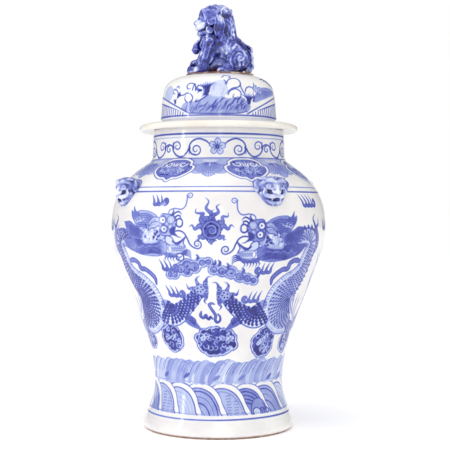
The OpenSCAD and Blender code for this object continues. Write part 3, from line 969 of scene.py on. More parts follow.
def lid_flutes(canvas, angle):
    """Upright lines between two landscapes, under a white border that arches."""
    pen = Pen(canvas, angle, BRIM_Z + 1)
    half_span = math.radians(61) * DOME_R
    xs = np.linspace(-half_span, half_span, 41)

    def arch(x, height):
        return 4 + height * (1 - (abs(x) / half_span) ** 1.5)

    border = [(x, arch(x, 30)) for x in xs]
    pen.wash(border + [(half_span, -2), (-half_span, -2)], 0.0, smooth=False)
    pen.line(border, 1.6, 0.85, start=1, end=1, smooth=False)
    for x in np.arange(-half_span + 9, half_span - 8, 4.8):
        pen.line([(x, 1), (x, arch(x, 21) - 2)], 1.4, 0.85, start=1, end=1, smooth=False)
    pen.line([(x, arch(x, 21) - 1) for x in xs[4:-4]], 1.6, 0.85, smooth=False)


# ---- The painting of this jar --------------------------------------------

ROW = 0.84
WALL_COLUMNS = 1152
DOME_COLUMNS = 640
sections = {name: even(line, ROW) for name, line in outside.items()}
wall = Canvas(join(*sections.values()), WALL_COLUMNS)
# the painting ends under the lion's pad
dome = Canvas(even(DOME_OUTSIDE, ROW)[:-30], DOME_COLUMNS)


def front(canvas, turn):
    """Everything between the bands, for one half of the wall: two dragons that face
    a pearl, and the clouds and flames round them."""
    pearl = turn - 3.5
    side = pearl + 93.5
    bank = Pen(canvas, pearl, BELLY_Z - 55)
    lobed(bank, [
        (-59, -11, 4), (-52, -10, 5), (-43, -2, 6.5), (-34, 3, 7), (-34, -6, 5), (-24, 1, 7),
        (-13, 7, 4.5), (-5, 8, 4), (2, -3, 5), (13, -5, 5.5), (25, -7, 7), (37, -13, 6),
        (47, -16, 5.5), (56, -19, 4.5),
    ], 0.36)
    for x, y, tilt in ((1, 4, -30), (9, 3, 0), (20, -1, 0), (41, -8, 10), (61, -15, 0), (-20, 11, 0)):
        tongue(bank.at(x, y, tilt=tilt), [(0, 0), (2, 4), (-1, 8)], 3.4, 0.75, 0.9)
    for x, below_belly, wide, tall in (
        (-33.5, 154, 34, 38), (1.8, 157, 56, 40), (40, 160, 36, 42), (-62, 158, 30, 30),
        (68, 162, 30, 32), (90, 141, 34, 30), (90, 86, 30, 26), (90, -27, 28, 18),
    ):
        round_cloud(Pen(canvas, pearl + x, BELLY_Z - below_belly), wide, tall)
    lobed(Pen(canvas, side, BELLY_Z - 29), [
        (-24, -4, 5), (-15, 1, 6.5), (-5, 5, 6), (4, 2, 7), (14, -2, 5.5), (23, -6, 5),
    ], 0.36)
    for x in (-12, 10):
        wisp(Pen(canvas, side + x, BELLY_Z - 1, 0.9, flip=x > 0))
    for x, below_belly in ((26.5, 60), (21, 99), (-21.5, 56), (-20, 91.5)):
        wisp(Pen(canvas, pearl + x, BELLY_Z - below_belly, 0.88, -4, x > 0))
    wisp(Pen(canvas, pearl + 63.5, BELLY_Z + 31), 4)
    wisp(Pen(canvas, pearl - 25.5, BELLY_Z + 32, 0.85))
    squiggle(Pen(canvas, pearl, BELLY_Z - 116.6, 0.95))
    # the flipped dragon is painted paler than the other: a painted reflection over its own paint
    dragon(canvas, pearl, True, BELLY_Z + 2, 0.9)
    dragon(canvas, pearl, False, BELLY_Z - 5.5, 1.0)
    flaming_pearl(Pen(canvas, pearl, BELLY_Z - 5))


def mask_edge_shade(canvas):
    """Painted shade where each mask meets the wall: a wash under the mask's edge, with a dark line round
    it.
    """
    half = [(0, 21), (19, 18), (24, 8), (17, -10), (8, -19)]
    for low, high in MASK_BOXES.values():
        middle = (low + high) / 2 / MM
        pen = Pen(canvas, math.degrees(math.atan2(middle.x, -middle.y)), middle.z)
        pen.wash(half + [(-x, y) for x, y in half[:0:-1]], 0.3, 0.7, 1.4)


def ruyi_collar(canvas, count=7):
    """Pale panels, with dark ones laid over the gaps between them."""
    for k in range(count):
        pale_lappet(Pen(canvas, -6.2 + 360 * k / count, NECK_Z - 19))
    for k in range(count):
        dark_lappet(Pen(canvas, 19.5 + 360 * k / count, NECK_Z - 20))


WAVES_Z = WAIST_Z - 38
FEATHERS_Z = WAIST_Z + 8

wave_band(wall, WAVES_Z)
wall.tone[wall.s < wall.depth(WAVES_Z + 1)] = 0
feather_band(wall, FEATHERS_Z, FEATHERS_Z + 30)
for half_turn in (0, 180):
    front(wall, half_turn)
ruyi_collar(wall)
neck_vine(wall, NECK_Z + 9)
for height, width, tone in (
    (WAVES_Z - 5.1, 1.9, 0.85), (WAVES_Z + 1.9, 1.3, 0.5), (FEATHERS_Z - 1, 1.2, 0.5),
    (BELLY_Z + 46.6, 1.9, 0.9), (BELLY_Z + 52.8, 1.4, 0.7), (NECK_Z - 6.5, 1.4, 0.75),
    (LIP_Z - 15, 1.2, 0.5), (LIP_Z - 10.6, 2.3, 0.95),
):
    wall.ring(height, width, tone)
# painted shade round the masks, where they meet the wall
mask_edge_shade(wall)

for half_turn in (0, 180):
    lid_landscape(dome, half_turn)
for half_turn in (90, 270):
    lid_flutes(dome, half_turn)
dome.ring(BRIM_Z + 2.6, 2.0, 0.85)

# the glaze softens every edge
for canvas in (wall, dome):
    canvas.tone = 0.55 * canvas.tone + 0.45 * soften(canvas.tone)


# ---- Meshes --------------------------------------------------------------

def new_object(name, mesh):
    obj = bpy.data.objects.new(name, mesh)
    bpy.context.scene.collection.objects.link(obj)
    return obj


def store(mesh, name, values):
    """Keeps a number for each vertex, which a material reads by its name."""
    layer = mesh.attributes.new(name, "FLOAT", "POINT")
    layer.data.foreach_set("value", np.asarray(values, np.float32).ravel())


def read(mesh, name):
    values = np.zeros(len(mesh.vertices) * 3, np.float32)
    mesh.vertices.foreach_get(name, values)
    return values.reshape(-1, 3).astype(float)


def vertices(mesh):
    return read(mesh, "co") / MM


def move(mesh, co):
    mesh.vertices.foreach_set("co", (co * MM).astype(np.float32).ravel())
    mesh.update(calc_edges=True)


def waver(theta, z):
    """How far the potter's wheel and the fire pushed the wall out or in."""
    return (0.14 * np.sin(2 * theta + z / 71 + 0.4) + 0.08 * np.sin(3 * theta - z / 47)
            + 0.05 * np.sin(7 * theta + z / 29) + 0.05 * np.sin(z / 6.1 + theta))


def turned_mesh(name, outline, columns, tone=None, bare=None):
    """Spins an outline that rises outside and comes back down inside. tone and
    bare say, row by row, what lies on it; rows without them are clear glaze."""
    r, z = np.asarray(outline, float).T
    rows = len(r)
    theta = np.arange(columns) * 2 * math.pi / columns
    R = np.where(r[:, None] > 1, r[:, None] + waver(theta[None], z[:, None]), r[:, None])
    co = np.stack([R * np.sin(theta), -R * np.cos(theta), np.repeat(z[:, None], columns, 1)], -1)
    i, c = np.meshgrid(np.arange(rows - 1), np.arange(columns), indexing="ij")
    right = (c + 1) % columns
    quads = np.stack([i * columns + c, i * columns + right,
                      (i + 1) * columns + right, (i + 1) * columns + c], -1).reshape(-1, 4)
    mesh = bpy.data.meshes.new(name)
    mesh.vertices.add(rows * columns)
    mesh.loops.add(quads.size)
    mesh.loops.foreach_set("vertex_index", quads.astype(np.int32).ravel())
    mesh.polygons.add(len(quads))
    mesh.polygons.foreach_set("loop_start", np.arange(0, quads.size, 4, dtype=np.int32))
    pigment_and_painted_light = np.zeros((rows, columns), np.float32)
    if tone is not None:
        pigment_and_painted_light[:len(tone)] = tone
    store(mesh, "pigment_and_painted_light", pigment_and_painted_light)
    store(mesh, "bare", np.repeat(np.zeros(rows) if bare is None else bare, columns))
    move(mesh, co)
    mesh.shade_smooth()
    return new_object(name, mesh)


# ---- Materials -----------------------------------------------------------

class Nodes:
    """Builds a node tree, one node per call."""

    def __init__(self, material):
        material.use_nodes = True
        self.tree = material.node_tree
        self.tree.nodes.clear()

    def node(self, kind, values=(), **settings):
        made = self.tree.nodes.new(kind)
        for key, value in settings.items():
            setattr(made, key, value)
        for key, value in dict(values).items():
            if hasattr(value, "is_output"):
                self.tree.links.new(value, made.inputs[key])
            else:
                made.inputs[key].default_value = value
        return made

    def stored(self, name):
        return self.node("ShaderNodeAttribute", attribute_name=name).outputs["Fac"]

    def maths(self, operation, *values, clamp=False):
        made = self.node("ShaderNodeMath", enumerate(values), operation=operation, use_clamp=clamp)
        return made.outputs[0]

    def noise(self, scale, detail=2.0, roughness=0.5, distortion=0.0):
        place = self.node("ShaderNodeTexCoord").outputs["Object"]
        made = self.node("ShaderNodeTexNoise", {
            "Vector": place, "Scale": scale, "Detail": detail, "Roughness": roughness,
            "Distortion": distortion,
        })
        return made.outputs["Fac"]

    def ramp(self, factor, stops):
        made = self.node("ShaderNodeValToRGB", {"Fac": factor})
        band = made.color_ramp
        while len(band.elements) < len(stops):
            band.elements.new(0.5)
        for element, (place, colour) in zip(band.elements, stops):
            element.position = place
            element.color = colour
        return made.outputs["Color"]

    def mix(self, factor, a, b):
        # sockets 6 and 7 and output 2 are the ones for colours
        return self.node("ShaderNodeMix", {0: factor, 6: a, 7: b}, data_type="RGBA").outputs[2]


def rgb(r, g, b):
    """A colour given in the usual 0 to 255 numbers, as Blender's linear ones."""
    return tuple(((v / 255 + 0.055) / 1.055) ** 2.4 for v in (r, g, b)) + (1.0,)


def ceramic(name, colour, roughness, bump, coat=0.0):
    """A glazed or bare ceramic. colour, roughness and bump are functions that
    build nodes; bump gives a height, a strength and a distance."""
    material = bpy.data.materials.new(name)
    n = Nodes(material)
    shader = n.node("ShaderNodeBsdfPrincipled", {
        "Base Color": colour(n), "Roughness": roughness(n), "IOR": 1.5,
        "Coat Weight": coat, "Coat Roughness": 0.04,
    })
    height, strength, distance = bump(n)
    relief = n.node("ShaderNodeBump", {"Height": height, "Strength": strength, "Distance": distance})
    n.tree.links.new(relief.outputs[0], shader.inputs["Normal"])
    out = n.node("ShaderNodeOutputMaterial")
    n.tree.links.new(shader.outputs[0], out.inputs[0])
    return material


def white_body(n, light=(239, 238, 233), low=(227, 223, 223)):
    """Milky glaze over porcelain: faint clouds of tint and a few iron specks."""
    cloudy = n.ramp(n.noise(16, 3, 0.6), [(0.36, rgb(*low)), (0.66, rgb(*light))])
    specks = n.ramp(n.noise(520, 1, 0.4), [(0.775, (0, 0, 0, 1)), (0.8, (1, 1, 1, 1))])
    return n.mix(n.maths("MULTIPLY", specks, 0.5), cloudy, rgb(150, 120, 92))


COBALT_STOPS = [
    (0.0, rgb(236, 238, 242)), (0.18, rgb(188, 198, 228)), (0.36, rgb(140, 152, 208)),
    (0.56, rgb(92, 102, 184)), (0.76, rgb(56, 61, 154)), (1.0, rgb(30, 31, 108)),
]


def painted_colour(n):
    """Cobalt, as thick as the brush left it, with the painted shade and painted reflection that the wall's
    tone also holds, over the white body or bare clay.
    """
    tone = n.stored("pigment_and_painted_light")
    patchy = n.maths("MULTIPLY_ADD", n.noise(75, 4, 0.65), 0.62, 0.69)
    grain = n.maths("MULTIPLY_ADD", n.noise(900, 2, 0.5), 0.26, 0.87)
    tone = n.maths("MULTIPLY", n.maths("MULTIPLY", tone, patchy), grain, clamp=True)
    cobalt = n.ramp(tone, COBALT_STOPS)
    cover = n.maths("MULTIPLY", tone, 7.0, clamp=True)
    glazed = n.mix(cover, white_body(n), cobalt)
    clay = n.ramp(n.noise(140, 4, 0.6), [(0.35, rgb(104, 74, 64)), (0.65, rgb(168, 138, 120))])
    return n.mix(n.stored("bare"), glazed, clay)


def painted_roughness(n):
    fine = n.maths("MULTIPLY_ADD", n.noise(30, 2), 0.05, 0.09)
    return n.maths("MULTIPLY_ADD", n.stored("bare"), 0.5, fine, clamp=True)


def orange_peel(n):
    """The faint unevenness of a thick glaze."""
    return n.noise(70, 3, 0.5), 0.06, 0.0015


PAINTED = ceramic("painted_porcelain", painted_colour, painted_roughness, orange_peel)
WHITE = ceramic("white_glaze", lambda n: white_body(n, (240, 236, 226), (229, 222, 209)),
                lambda n: n.maths("MULTIPLY_ADD", n.noise(30, 2), 0.05, 0.1), orange_peel)
BISCUIT = ceramic(
    "bare_porcelain",
    lambda n: n.ramp(n.noise(120, 5, 0.65), [(0.3, rgb(214, 198, 176)), (0.7, rgb(236, 226, 208))]),
    lambda n: n.maths("MULTIPLY_ADD", n.noise(200, 3), 0.15, 0.58),
    lambda n: (n.noise(600, 4, 0.6), 0.35, 0.0006),
)


def pooled_colour(stops, patchy):
    """Cobalt glaze that is thin on ridges and pools in hollows; on the lion and the masks its tone also
    holds painted shade and painted highlights.
    """
    def colour(n):
        tone = n.stored("pigment_and_painted_light")
        drift = n.maths("MULTIPLY_ADD", n.noise(62, 3, 0.55, 0.8), patchy, -0.5 * patchy)
        fleck = n.maths("MULTIPLY_ADD", n.noise(260, 2, 0.5), 0.24 * patchy, -0.12 * patchy)
        tone = n.maths("ADD", n.maths("ADD", tone, drift), fleck, clamp=True)
        rust = n.ramp(n.noise(150, 4, 0.6), [(0.35, rgb(58, 34, 40)), (0.7, rgb(120, 76, 62))])
        return n.mix(n.stored("bare"), n.ramp(tone, stops), rust)
    return colour


def pooled_roughness(n):
    return n.maths("MULTIPLY_ADD", n.noise(80, 2), 0.08, 0.12)


def pooled_bump(n):
    return n.noise(160, 3, 0.55), 0.12, 0.0012


COBALT = ceramic("cobalt_glaze", pooled_colour([
    (0.0, rgb(222, 226, 242)), (0.2, rgb(158, 168, 222)), (0.42, rgb(92, 104, 188)),
    (0.64, rgb(52, 58, 150)), (0.84, rgb(30, 32, 108)), (1.0, rgb(14, 14, 56)),
], 2.4), pooled_roughness, pooled_bump, 0.3)
MASK = ceramic("mask_glaze", pooled_colour([
    (0.0, rgb(228, 231, 242)), (0.25, rgb(184, 193, 228)), (0.5, rgb(128, 140, 200)),
    (0.75, rgb(72, 82, 166)), (1.0, rgb(18, 20, 62)),
], 1.1), pooled_roughness, pooled_bump, 0.3)
RUSTY = ceramic(
    "rusty_clay",
    lambda n: n.ramp(n.noise(90, 4, 0.6), [(0.3, rgb(78, 50, 60)), (0.48, rgb(128, 88, 74)),
                                           (0.66, rgb(196, 178, 160))]),
    lambda n: n.maths("MULTIPLY_ADD", n.noise(200, 3), 0.2, 0.4),
    lambda n: (n.noise(400, 4, 0.6), 0.3, 0.0008),
)


def place(obj, body, node, material, slot):
    """Puts a piece on its body, in place of a CAD node."""
    obj.data.materials.clear()
    obj.data.materials.append(material)
    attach(obj, body)
    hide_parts(node)


# ---- The jar's wall ------------------------------------------------------

first_row = 0
for name, section in sections.items():
    tone = wall.tone[first_row:first_row + len(section)]
    first_row += len(section) - 1
    outline = np.concatenate([section, even(inside[name], 6)[::-1]])
    height = outline[:, 1]
    bare = np.zeros(len(outline))
    if name == "foot_ring":
        bare = np.clip((4.2 - height) / 1.8, 0, 1)
    if name == "neck_collar":
        bare = np.clip((height - LIP_Z + 1.2) / 1.0, 0, 0.75)
    ring = turned_mesh("painted_" + name, outline, WALL_COLUMNS, tone, bare)
    slot = "foot_porcelain" if name == "foot_ring" else "painted_porcelain"
    place(ring, "jar", name, PAINTED, slot)

base_low, base_high = foot("base_plate"), top("base_plate")
base = turned_mesh("glazed_base", [
    (0.0, base_low + 2.2), (30, base_low + 1.9), (60, base_low + 1.0), (BORE_R - 1, base_low),
    (BORE_R, base_low + 1), (BORE_R, base_high), (BORE_R - 3, base_high), (50, base_high - 0.6),
    (0.0, base_high - 0.9),
], 192)
place(base, "jar", "base_plate", WHITE, "glazed_inside")


# ---- The lid -------------------------------------------------------------

dome_inside = inset(even(DOME_OUTSIDE, 3.0), DOME_WALL)
dome_inside = dome_inside[dome_inside[:, 0] > 0.5]
dome_inside[0] = (LID_BORE_R, BRIM_Z)
painted_dome = turned_mesh(
    "painted_dome",
    np.concatenate([np.column_stack([dome.r, dome.z]), dome_inside[::-1][:1], dome_inside[::-1]]),
    DOME_COLUMNS, dome.tone,
)
place(painted_dome, "lid", "lid_dome", PAINTED, "painted_porcelain")

LID_COLUMNS = 320
BRIM_UNDER_R = BRIM_R - 17
brim_edge = cubic((BRIM_R - 4.4, SEAT_Z - 3.2), (BRIM_R + 1.2, SEAT_Z - 3.2),
                  (BRIM_R + 2, SEAT_Z + 5.9), (BRIM_R - 5.4, SEAT_Z + 6.8), count=30)
cream_brim = turned_mesh("cream_brim", join(
    [(BRIM_UNDER_R, SEAT_Z)], brim_edge,
    [(DOME_R + 14, BRIM_Z - 3.2), (DOME_R + 4, BRIM_Z - 0.6), (DOME_R + 1.5, BRIM_Z)],
    [(LID_BORE_R, BRIM_Z), (LID_BORE_R, SEAT_Z), (BRIM_UNDER_R, SEAT_Z)],
), LID_COLUMNS)
place(cream_brim, "lid", "lid_brim", WHITE, "white_glaze")

COLLAR_Z = foot("lid_collar")
bare_collar = turned_mesh("bare_collar", [
    (COLLAR_R - 1.5, COLLAR_Z), (COLLAR_R - 0.4, COLLAR_Z + 0.4), (COLLAR_R, COLLAR_Z + 1.5),
    (COLLAR_R, SEAT_Z), (LID_BORE_R, SEAT_Z), (LID_BORE_R, COLLAR_Z + 1.5),
    (LID_BORE_R + 0.4, COLLAR_Z + 0.4), (LID_BORE_R + 1.5, COLLAR_Z), (COLLAR_R - 1.5, COLLAR_Z),
], LID_COLUMNS)
place(bare_collar, "lid", "lid_collar", BISCUIT, "bare_porcelain")


# ---- Modelled clay -------------------------------------------------------

def mirrored(points, side, axis=1):
    """Points (x, y, z, radius) whose x or y is taken times side."""
    return [tuple(side * v if k == axis else v for k, v in enumerate(point)) for point in points]


class Clay:
    """Rolls and balls of clay, as one mesh's vertices and faces."""

    def __init__(self):
        self.vertices = []
        self.faces = []

    def roll(self, points, sides=12):
        """A round roll through points (x, y, z, radius), with round ends."""
        p = curve(points, per_span=6)
        d = np.gradient(p[:, :3], axis=0)
        d /= np.maximum(1e-6, np.linalg.norm(d, axis=1))[:, None]
        rings = []
        for k, lean in ((0, -1), (len(p) - 1, 1)):
            for angle in (75, 50, 25):
                a = math.radians(angle)
                centre = p[k, :3] + lean * d[k] * p[k, 3] * math.sin(a)
                rings.append((lean * (1000 + math.sin(a)), centre, d[k], p[k, 3] * math.cos(a)))
        for k in range(len(p)):
            rings.append((k / len(p), p[k, :3], d[k], p[k, 3]))
        rings.sort(key=lambda ring: ring[0])
        first = len(self.vertices)
        side = np.array([0.31, 0.87, 0.38])
        a = np.linspace(0, 2 * math.pi, sides, endpoint=False)
        for order, centre, along, radius in rings:
            u = side - along * side.dot(along)
            u /= max(1e-6, np.linalg.norm(u))
            side = u
            v = np.cross(along, u)
            ring = centre + radius * (np.cos(a)[:, None] * u + np.sin(a)[:, None] * v)
            self.vertices.extend(ring.tolist())
        for i in range(len(rings) - 1):
            for c in range(sides):
                low, high = first + i * sides, first + (i + 1) * sides
                self.faces.append((low + c, low + (c + 1) % sides, high + (c + 1) % sides, high + c))
        last = first + (len(rings) - 1) * sides
        self.faces.append(tuple(first + c for c in range(sides))[::-1])
        self.faces.append(tuple(last + c for c in range(sides)))

    def ball(self, x, y, z, radius):
        self.roll([(x - 0.05 * radius, y, z, radius), (x + 0.05 * radius, y, z, radius)], 20)

    def bones(self, bones, side=1):
        """The thick rolls that a limb is built on, each from end to end."""
        for ends in bones:
            self.roll(mirrored(ends, side), 24)

    def curl(self, centre, radius, thick, start, way, turns=1.5):
        """A roll wound into a spiral, seen from the side, that bulges at its middle."""
        t = np.linspace(0, 1, int(9 * turns) + 2)
        angle = math.radians(start) + way * 2 * math.pi * turns * t
        r = radius * (1 - 0.86 * t)
        x, y, z = centre
        lift = math.copysign(0.5 * thick, y) * t
        self.roll(np.column_stack([
            x + r * np.cos(angle), y + lift, z + r * np.sin(angle), thick * (1 - 0.35 * t),
        ]))


VOXEL = 0.8


def fused(name, clay, height=0.0, size=1.0, relax=5, lowest=-1000.0):
    """Fuses overlapping clay into one skin, as wet clay is luted and smoothed. It
    is flat at lowest, and is then lifted by height."""
    mesh = bpy.data.meshes.new(name)
    points = np.array(clay.vertices) * size
    mesh.from_pydata((points * MM).tolist(), [], clay.faces)
    obj = new_object(name, mesh)
    remesh = obj.modifiers.new("fuse", "REMESH")
    remesh.mode = "VOXEL"
    remesh.voxel_size = VOXEL * MM
    smooth = obj.modifiers.new("smooth", "SMOOTH")
    smooth.iterations = relax
    done = bpy.data.meshes.new_from_object(obj.evaluated_get(bpy.context.evaluated_depsgraph_get()))
    obj.modifiers.clear()
    obj.data = done
    bpy.data.meshes.remove(mesh)
    done.name = name
    co = vertices(done)
    co[:, 2] = np.maximum(co[:, 2], lowest) + height
    move(done, co)
    done.shade_smooth()
    return obj


def hollows(mesh, rounds):
    """How far each vertex lies under its smoothed neighbourhood, in mm."""
    ends = np.zeros(len(mesh.edges) * 2, np.int32)
    mesh.edges.foreach_get("vertices", ends)
    a, b = ends.reshape(-1, 2).T
    start = vertices(mesh)
    count = np.bincount(a, minlength=len(start)) + np.bincount(b, minlength=len(start))
    co = start.copy()
    for _ in range(rounds):
        total = np.column_stack([
            np.bincount(a, co[b, k], len(co)) + np.bincount(b, co[a, k], len(co)) for k in range(3)
        ])
        co = 0.5 * co + 0.5 * total / np.maximum(1, count)[:, None]
    return ((co - start) * read(mesh, "normal")).sum(1)


def shade(objects, reach, rays=14):
    """How shut in each vertex of the objects is, from 0 to 1."""
    corners, faces = [], []
    for obj in objects:
        first = len(corners)
        corners.extend(v.co[:] for v in obj.data.vertices)
        faces.extend(tuple(first + i for i in f.vertices) for f in obj.data.polygons)
    tree = BVHTree.FromPolygons(corners, faces)
    k = np.arange(rays)
    up = 1 - (k + 0.5) / rays
    around = k * math.pi * (3 - math.sqrt(5))
    out = np.sqrt(1 - up ** 2)
    directions = np.column_stack([out * np.cos(around), out * np.sin(around), up])
    all_shut = []
    for obj in objects:
        shut = []
        for v in obj.data.vertices:
            n = v.normal
            u = n.orthogonal().normalized()
            w = n.cross(u)
            origin = v.co + n * 0.0004
            hits = [
                tree.ray_cast(origin, u * x + w * y + n * z, reach * MM)[0] is not None
                for x, y, z in directions
            ]
            shut.append(sum(hits) / rays)
        all_shut.append(np.array(shut))
    return all_shut


# ---- The guardian lion on the lid ----------------------------------------
# It looks along -X. Millimetres from the crown's centre, for a lion 103 high.

LION_SIZE = (TOP_Z - CROWN_Z) / 103
PAD_TOP = top("finial_pad") - CROWN_Z


def outermost(bones, x, z):
    """How far to the side the bones reach at a place seen from the side."""
    best = 0.0
    for a, b in bones:
        for t in np.linspace(0, 1, 9):
            bx, by, bz, br = (1 - t) * np.array(a) + t * np.array(b)
            deep = br ** 2 - (x - bx) ** 2 - (z - bz) ** 2
            if deep > 0:
                best = max(best, abs(by) + math.sqrt(deep))
    return best


def strand(clay, bones, side, path, thick, sink=0.35):
    """A lock of hair or a ridge laid on the bones' side, by (x, z) points."""
    spots = []
    last = len(path) - 1
    for k, (x, z) in enumerate(path):
        r = thick * (1.0 if k < last else 0.55)
        spots.append((x, side * (outermost(bones, x, z) - sink * thick), z, r))
    clay.roll(spots)


def lion_torso():
    clay = Clay()
    bones = [((-13, 0, 46, 16.5), (2, 0, 50, 17.5)), ((2, 0, 50, 17.5), (28, 0, 24, 17.5)),
             ((-10, 0, 40, 13.5), (8, 0, 38, 13.5)), ((10, 0, 28, 13.5), (32, 0, 20, 15.5))]
    clay.bones(bones)
    clay.bones([((-8, 0, 15, 12.6), (14, 0, 15, 12.6))])
    for k in range(8):
        t = k / 7
        clay.ball(19 + 25 * t, 0, 60.5 - 23.5 * t, 3.1)
    for side in (-1, 1):
        for k in range(5):
            strand(clay, bones, side, [(16 + 4.5 * k, 51 - 4.6 * k), (12 + 4.5 * k, 45 - 4.4 * k),
                                       (11 + 4 * k, 38 - 4 * k)], 1.9)
        strand(clay, bones, side, [(-22, 50), (-25, 42), (-22, 34)], 2.2)
    return clay


def lion_head():
    clay = Clay()
    clay.bones([((-9, -4, 82, 17.2), (-9, 4, 82, 17.2)), ((-18, 0, 78, 13), (-22, 0, 73.5, 11.5)),
                ((-17, 0, 67, 10), (-22, 0, 63, 8)), ((-4, 0, 91, 10.5), (-5, 0, 95, 8))])
    for side in (-1, 1):
        for points in (
            [(-30, 1, 69.5, 4.2), (-28, 7, 69, 5), (-22, 12, 70.5, 4.5), (-15, 15, 73, 3.5)],
            [(-28, 1, 59.5, 3.4), (-25, 6, 59, 3.4), (-18, 10, 61, 3)],
            [(-25, 3, 87, 3.8), (-21.5, 9.5, 90.5, 4.6), (-14, 15, 90, 4), (-9, 18, 86, 2.6)],
            [(-31, 3.5, 75.5, 3.2), (-29, 5, 77, 3)],
            [(-22, 5, 55.5, 2.8), (-24, 6, 49, 2.2), (-22, 7, 44, 1.4)],
            [(-15, 11, 58, 3), (-16, 13, 52, 2.5), (-13, 14, 46, 1.5)],
            [(-12, 17, 79, 3.4), (-7, 20.5, 84, 4.2), (0, 20, 90, 2.4)],
        ):
            clay.roll(mirrored(points, side))
        clay.ball(-23, side * 8, 82.5, 4.4)
        clay.ball(-26.2, side * 9.2, 82.5, 1.7)
        clay.curl((-9.5, side * 19.5, 75.5), 6.6, 2.2, 80, 1)
        clay.curl((-12, side * 16.5, 63.5), 5.2, 2.0, 100, 1)
        for k in range(4):
            x, y, z = 4 * k, 2 * k, 94 + k
            clay.roll(mirrored([(x - 16, y + 6, z + 3 - 0.9 * k * k, 2.4),
                                (x - 11, y + 9, z + 3.5 - 1.1 * k * k, 2.2),
                                (x - 8, y + 12, z - 1.2 * k * k, 1.4)], side))
    clay.ball(-32.5, 0, 75.2, 3.8)
    clay.ball(-19, 0, 94, 4.2)
    return clay


def lion_mane():
    clay = Clay()
    bones = [((4, 0, 86, 13.5), (8, 0, 76, 15.5)), ((8, 0, 76, 15.5), (15, 0, 52, 12.5)),
             ((-2, 15, 80, 8), (2, 16, 64, 8)), ((0, 15, 62, 7.5), (6, 14, 48, 5.5))]
    for ends in bones:
        clay.bones([ends])
        if ends[0][1]:
            clay.bones([ends], -1)
    for side in (-1, 1):
        for k in range(7):
            x = -5 + 3.7 * k
            strand(clay, bones, side, [
                (x - 1, 84 - 1.5 * k), (x + 1.5, 74 - 1.5 * k), (x - 0.5, 64 - 1.4 * k),
                (x + 2.5, 55 - 1.2 * k), (x + 1, 47 + 0.4 * k)], 2.1, 0.2)
        for x, z in ((-7, 86), (0, 89.5), (7, 91)):
            y = outermost(bones, x, z)
            clay.curl((x, side * max(y, 12), z), 4.4, 2.0, 0, -1)
        for k in range(6):
            clay.ball(16.5 + 1.9 * k - 0.12 * k * k, side * 4.2, 92 - 6.9 * k, 3.5)
        for k in range(5):
            clay.ball(13.5 + 2.6 * k - 0.2 * k * k, side * 10, 87 - 7.6 * k, 3.2)
    clay.roll([(-4, 0, 97, 4), (4, 0, 98, 4), (12, 0, 94, 4), (17, 0, 86, 3.5)])
    return clay


def lion_foreleg(side, on_ball):
    clay = Clay()
    if on_ball:
        bones = [((-13, 13, 44, 9.6), (-22, 16, 28, 8.2)), ((-22, 16, 28, 8.2), (-27, 17, 20, 6.8)),
                 ((-27, 17, 20, 6.6), (-36, 17, 19, 5.4))]
        toe_x, toe_z = -39, 18.5
        ridge = [(-17, 40), (-23, 28), (-29, 21), (-36, 21)]
    else:
        bones = [((-13, 13, 44, 9.6), (-20, 16, 24, 8.2)), ((-20, 16, 24, 8.2), (-22, 17, 8, 7.6)),
                 ((-23, 17, 6.5, 6.8), (-31, 17, 5.5, 5.4))]
        toe_x, toe_z = -33, 4.6
        ridge = [(-17, 42), (-20, 30), (-23, 20), (-27, 9)]
    clay.bones(bones, side)
    strand(clay, bones, side, ridge, 1.7, 0.1)
    strand(clay, bones, side, [(x + 6, z) for x, z in ridge[:3]], 1.5, 0.1)
    clay.curl((-12, side * (outermost(bones, -12, 45) - 0.4), 45), 5.6, 1.9, 200, -1)
    for k in range(4):
        y = side * (12.6 + 3.0 * k)
        clay.roll([(toe_x + 5, y, toe_z + 1.5, 2.3), (toe_x, y, toe_z, 2.5),
                   (toe_x - 1.2, y, toe_z - 1.8, 2.0)])
    for k in range(3):
        clay.roll(mirrored([(-8 - k, 17 + k, 38 - 5 * k, 2.8), (-6 - 2 * k, 18 + k, 31 - 5 * k, 2.4),
                            (-10 - 2 * k, 19, 25 - 5 * k, 1.3)], side))
    return clay


def lion_hindleg(side):
    clay = Clay()
    bones = [((30, 15, 22, 15.5), (24, 17, 18, 13.5)), ((20, 19, 12, 8.6), (12, 20, 8, 6.8)),
             ((14, 21, 6, 5.8), (3, 21, 5.5, 5))]
    clay.bones(bones, side)
    clay.curl((30, side * (outermost(bones, 30, 24) - 0.8), 24), 8.4, 2.0, 120, -1, 1.7)
    for k in range(4):
        strand(clay, bones, side, [(20 + 5 * k, 9 + k), (17 + 6 * k, 18 + 2 * k), (22 + 6 * k, 30 + k)],
               1.7, 0.15)
    for k in range(4):
        y = side * (16.8 + 2.8 * k)
        clay.roll([(6, y, 6.5, 2.2), (1, y, 5.4, 2.4), (-0.6, y, 3.6, 1.9)])
    return clay


def lion_tail():
    clay = Clay()
    clay.roll([(43, 0, 8, 6), (45.5, 0, 20, 5.6), (43.5, 0, 33, 5.4), (37, 0, 42, 4.4)])
    for side in (-1, 0, 1):
        for k in range(4):
            clay.roll([(45, 3.6 * side, 6 + 8 * k, 2.4), (49.4 - 0.6 * k, 4.6 * side, 12 + 8 * k, 2.4),
                       (47.6 - 1.8 * k, 5.2 * side, 18 + 8 * k, 1.5)])
    return clay


def lion_bell():
    clay = Clay()
    clay.roll([(-32, 0, 42, 5), (-32.6, 0, 36, 6)], 20)
    clay.roll([(-27, -9, 50, 1.8), (-31.5, -4, 46.5, 2), (-32.5, 0, 45.5, 2.2), (-31.5, 4, 46.5, 2),
               (-27, 9, 50, 1.8)])
    spots = [polar(6.2, a) for a in np.linspace(0, 6.6, 12)]
    clay.roll([(x - 32.4, y, 36.6, 0.9) for x, y in spots])
    return clay


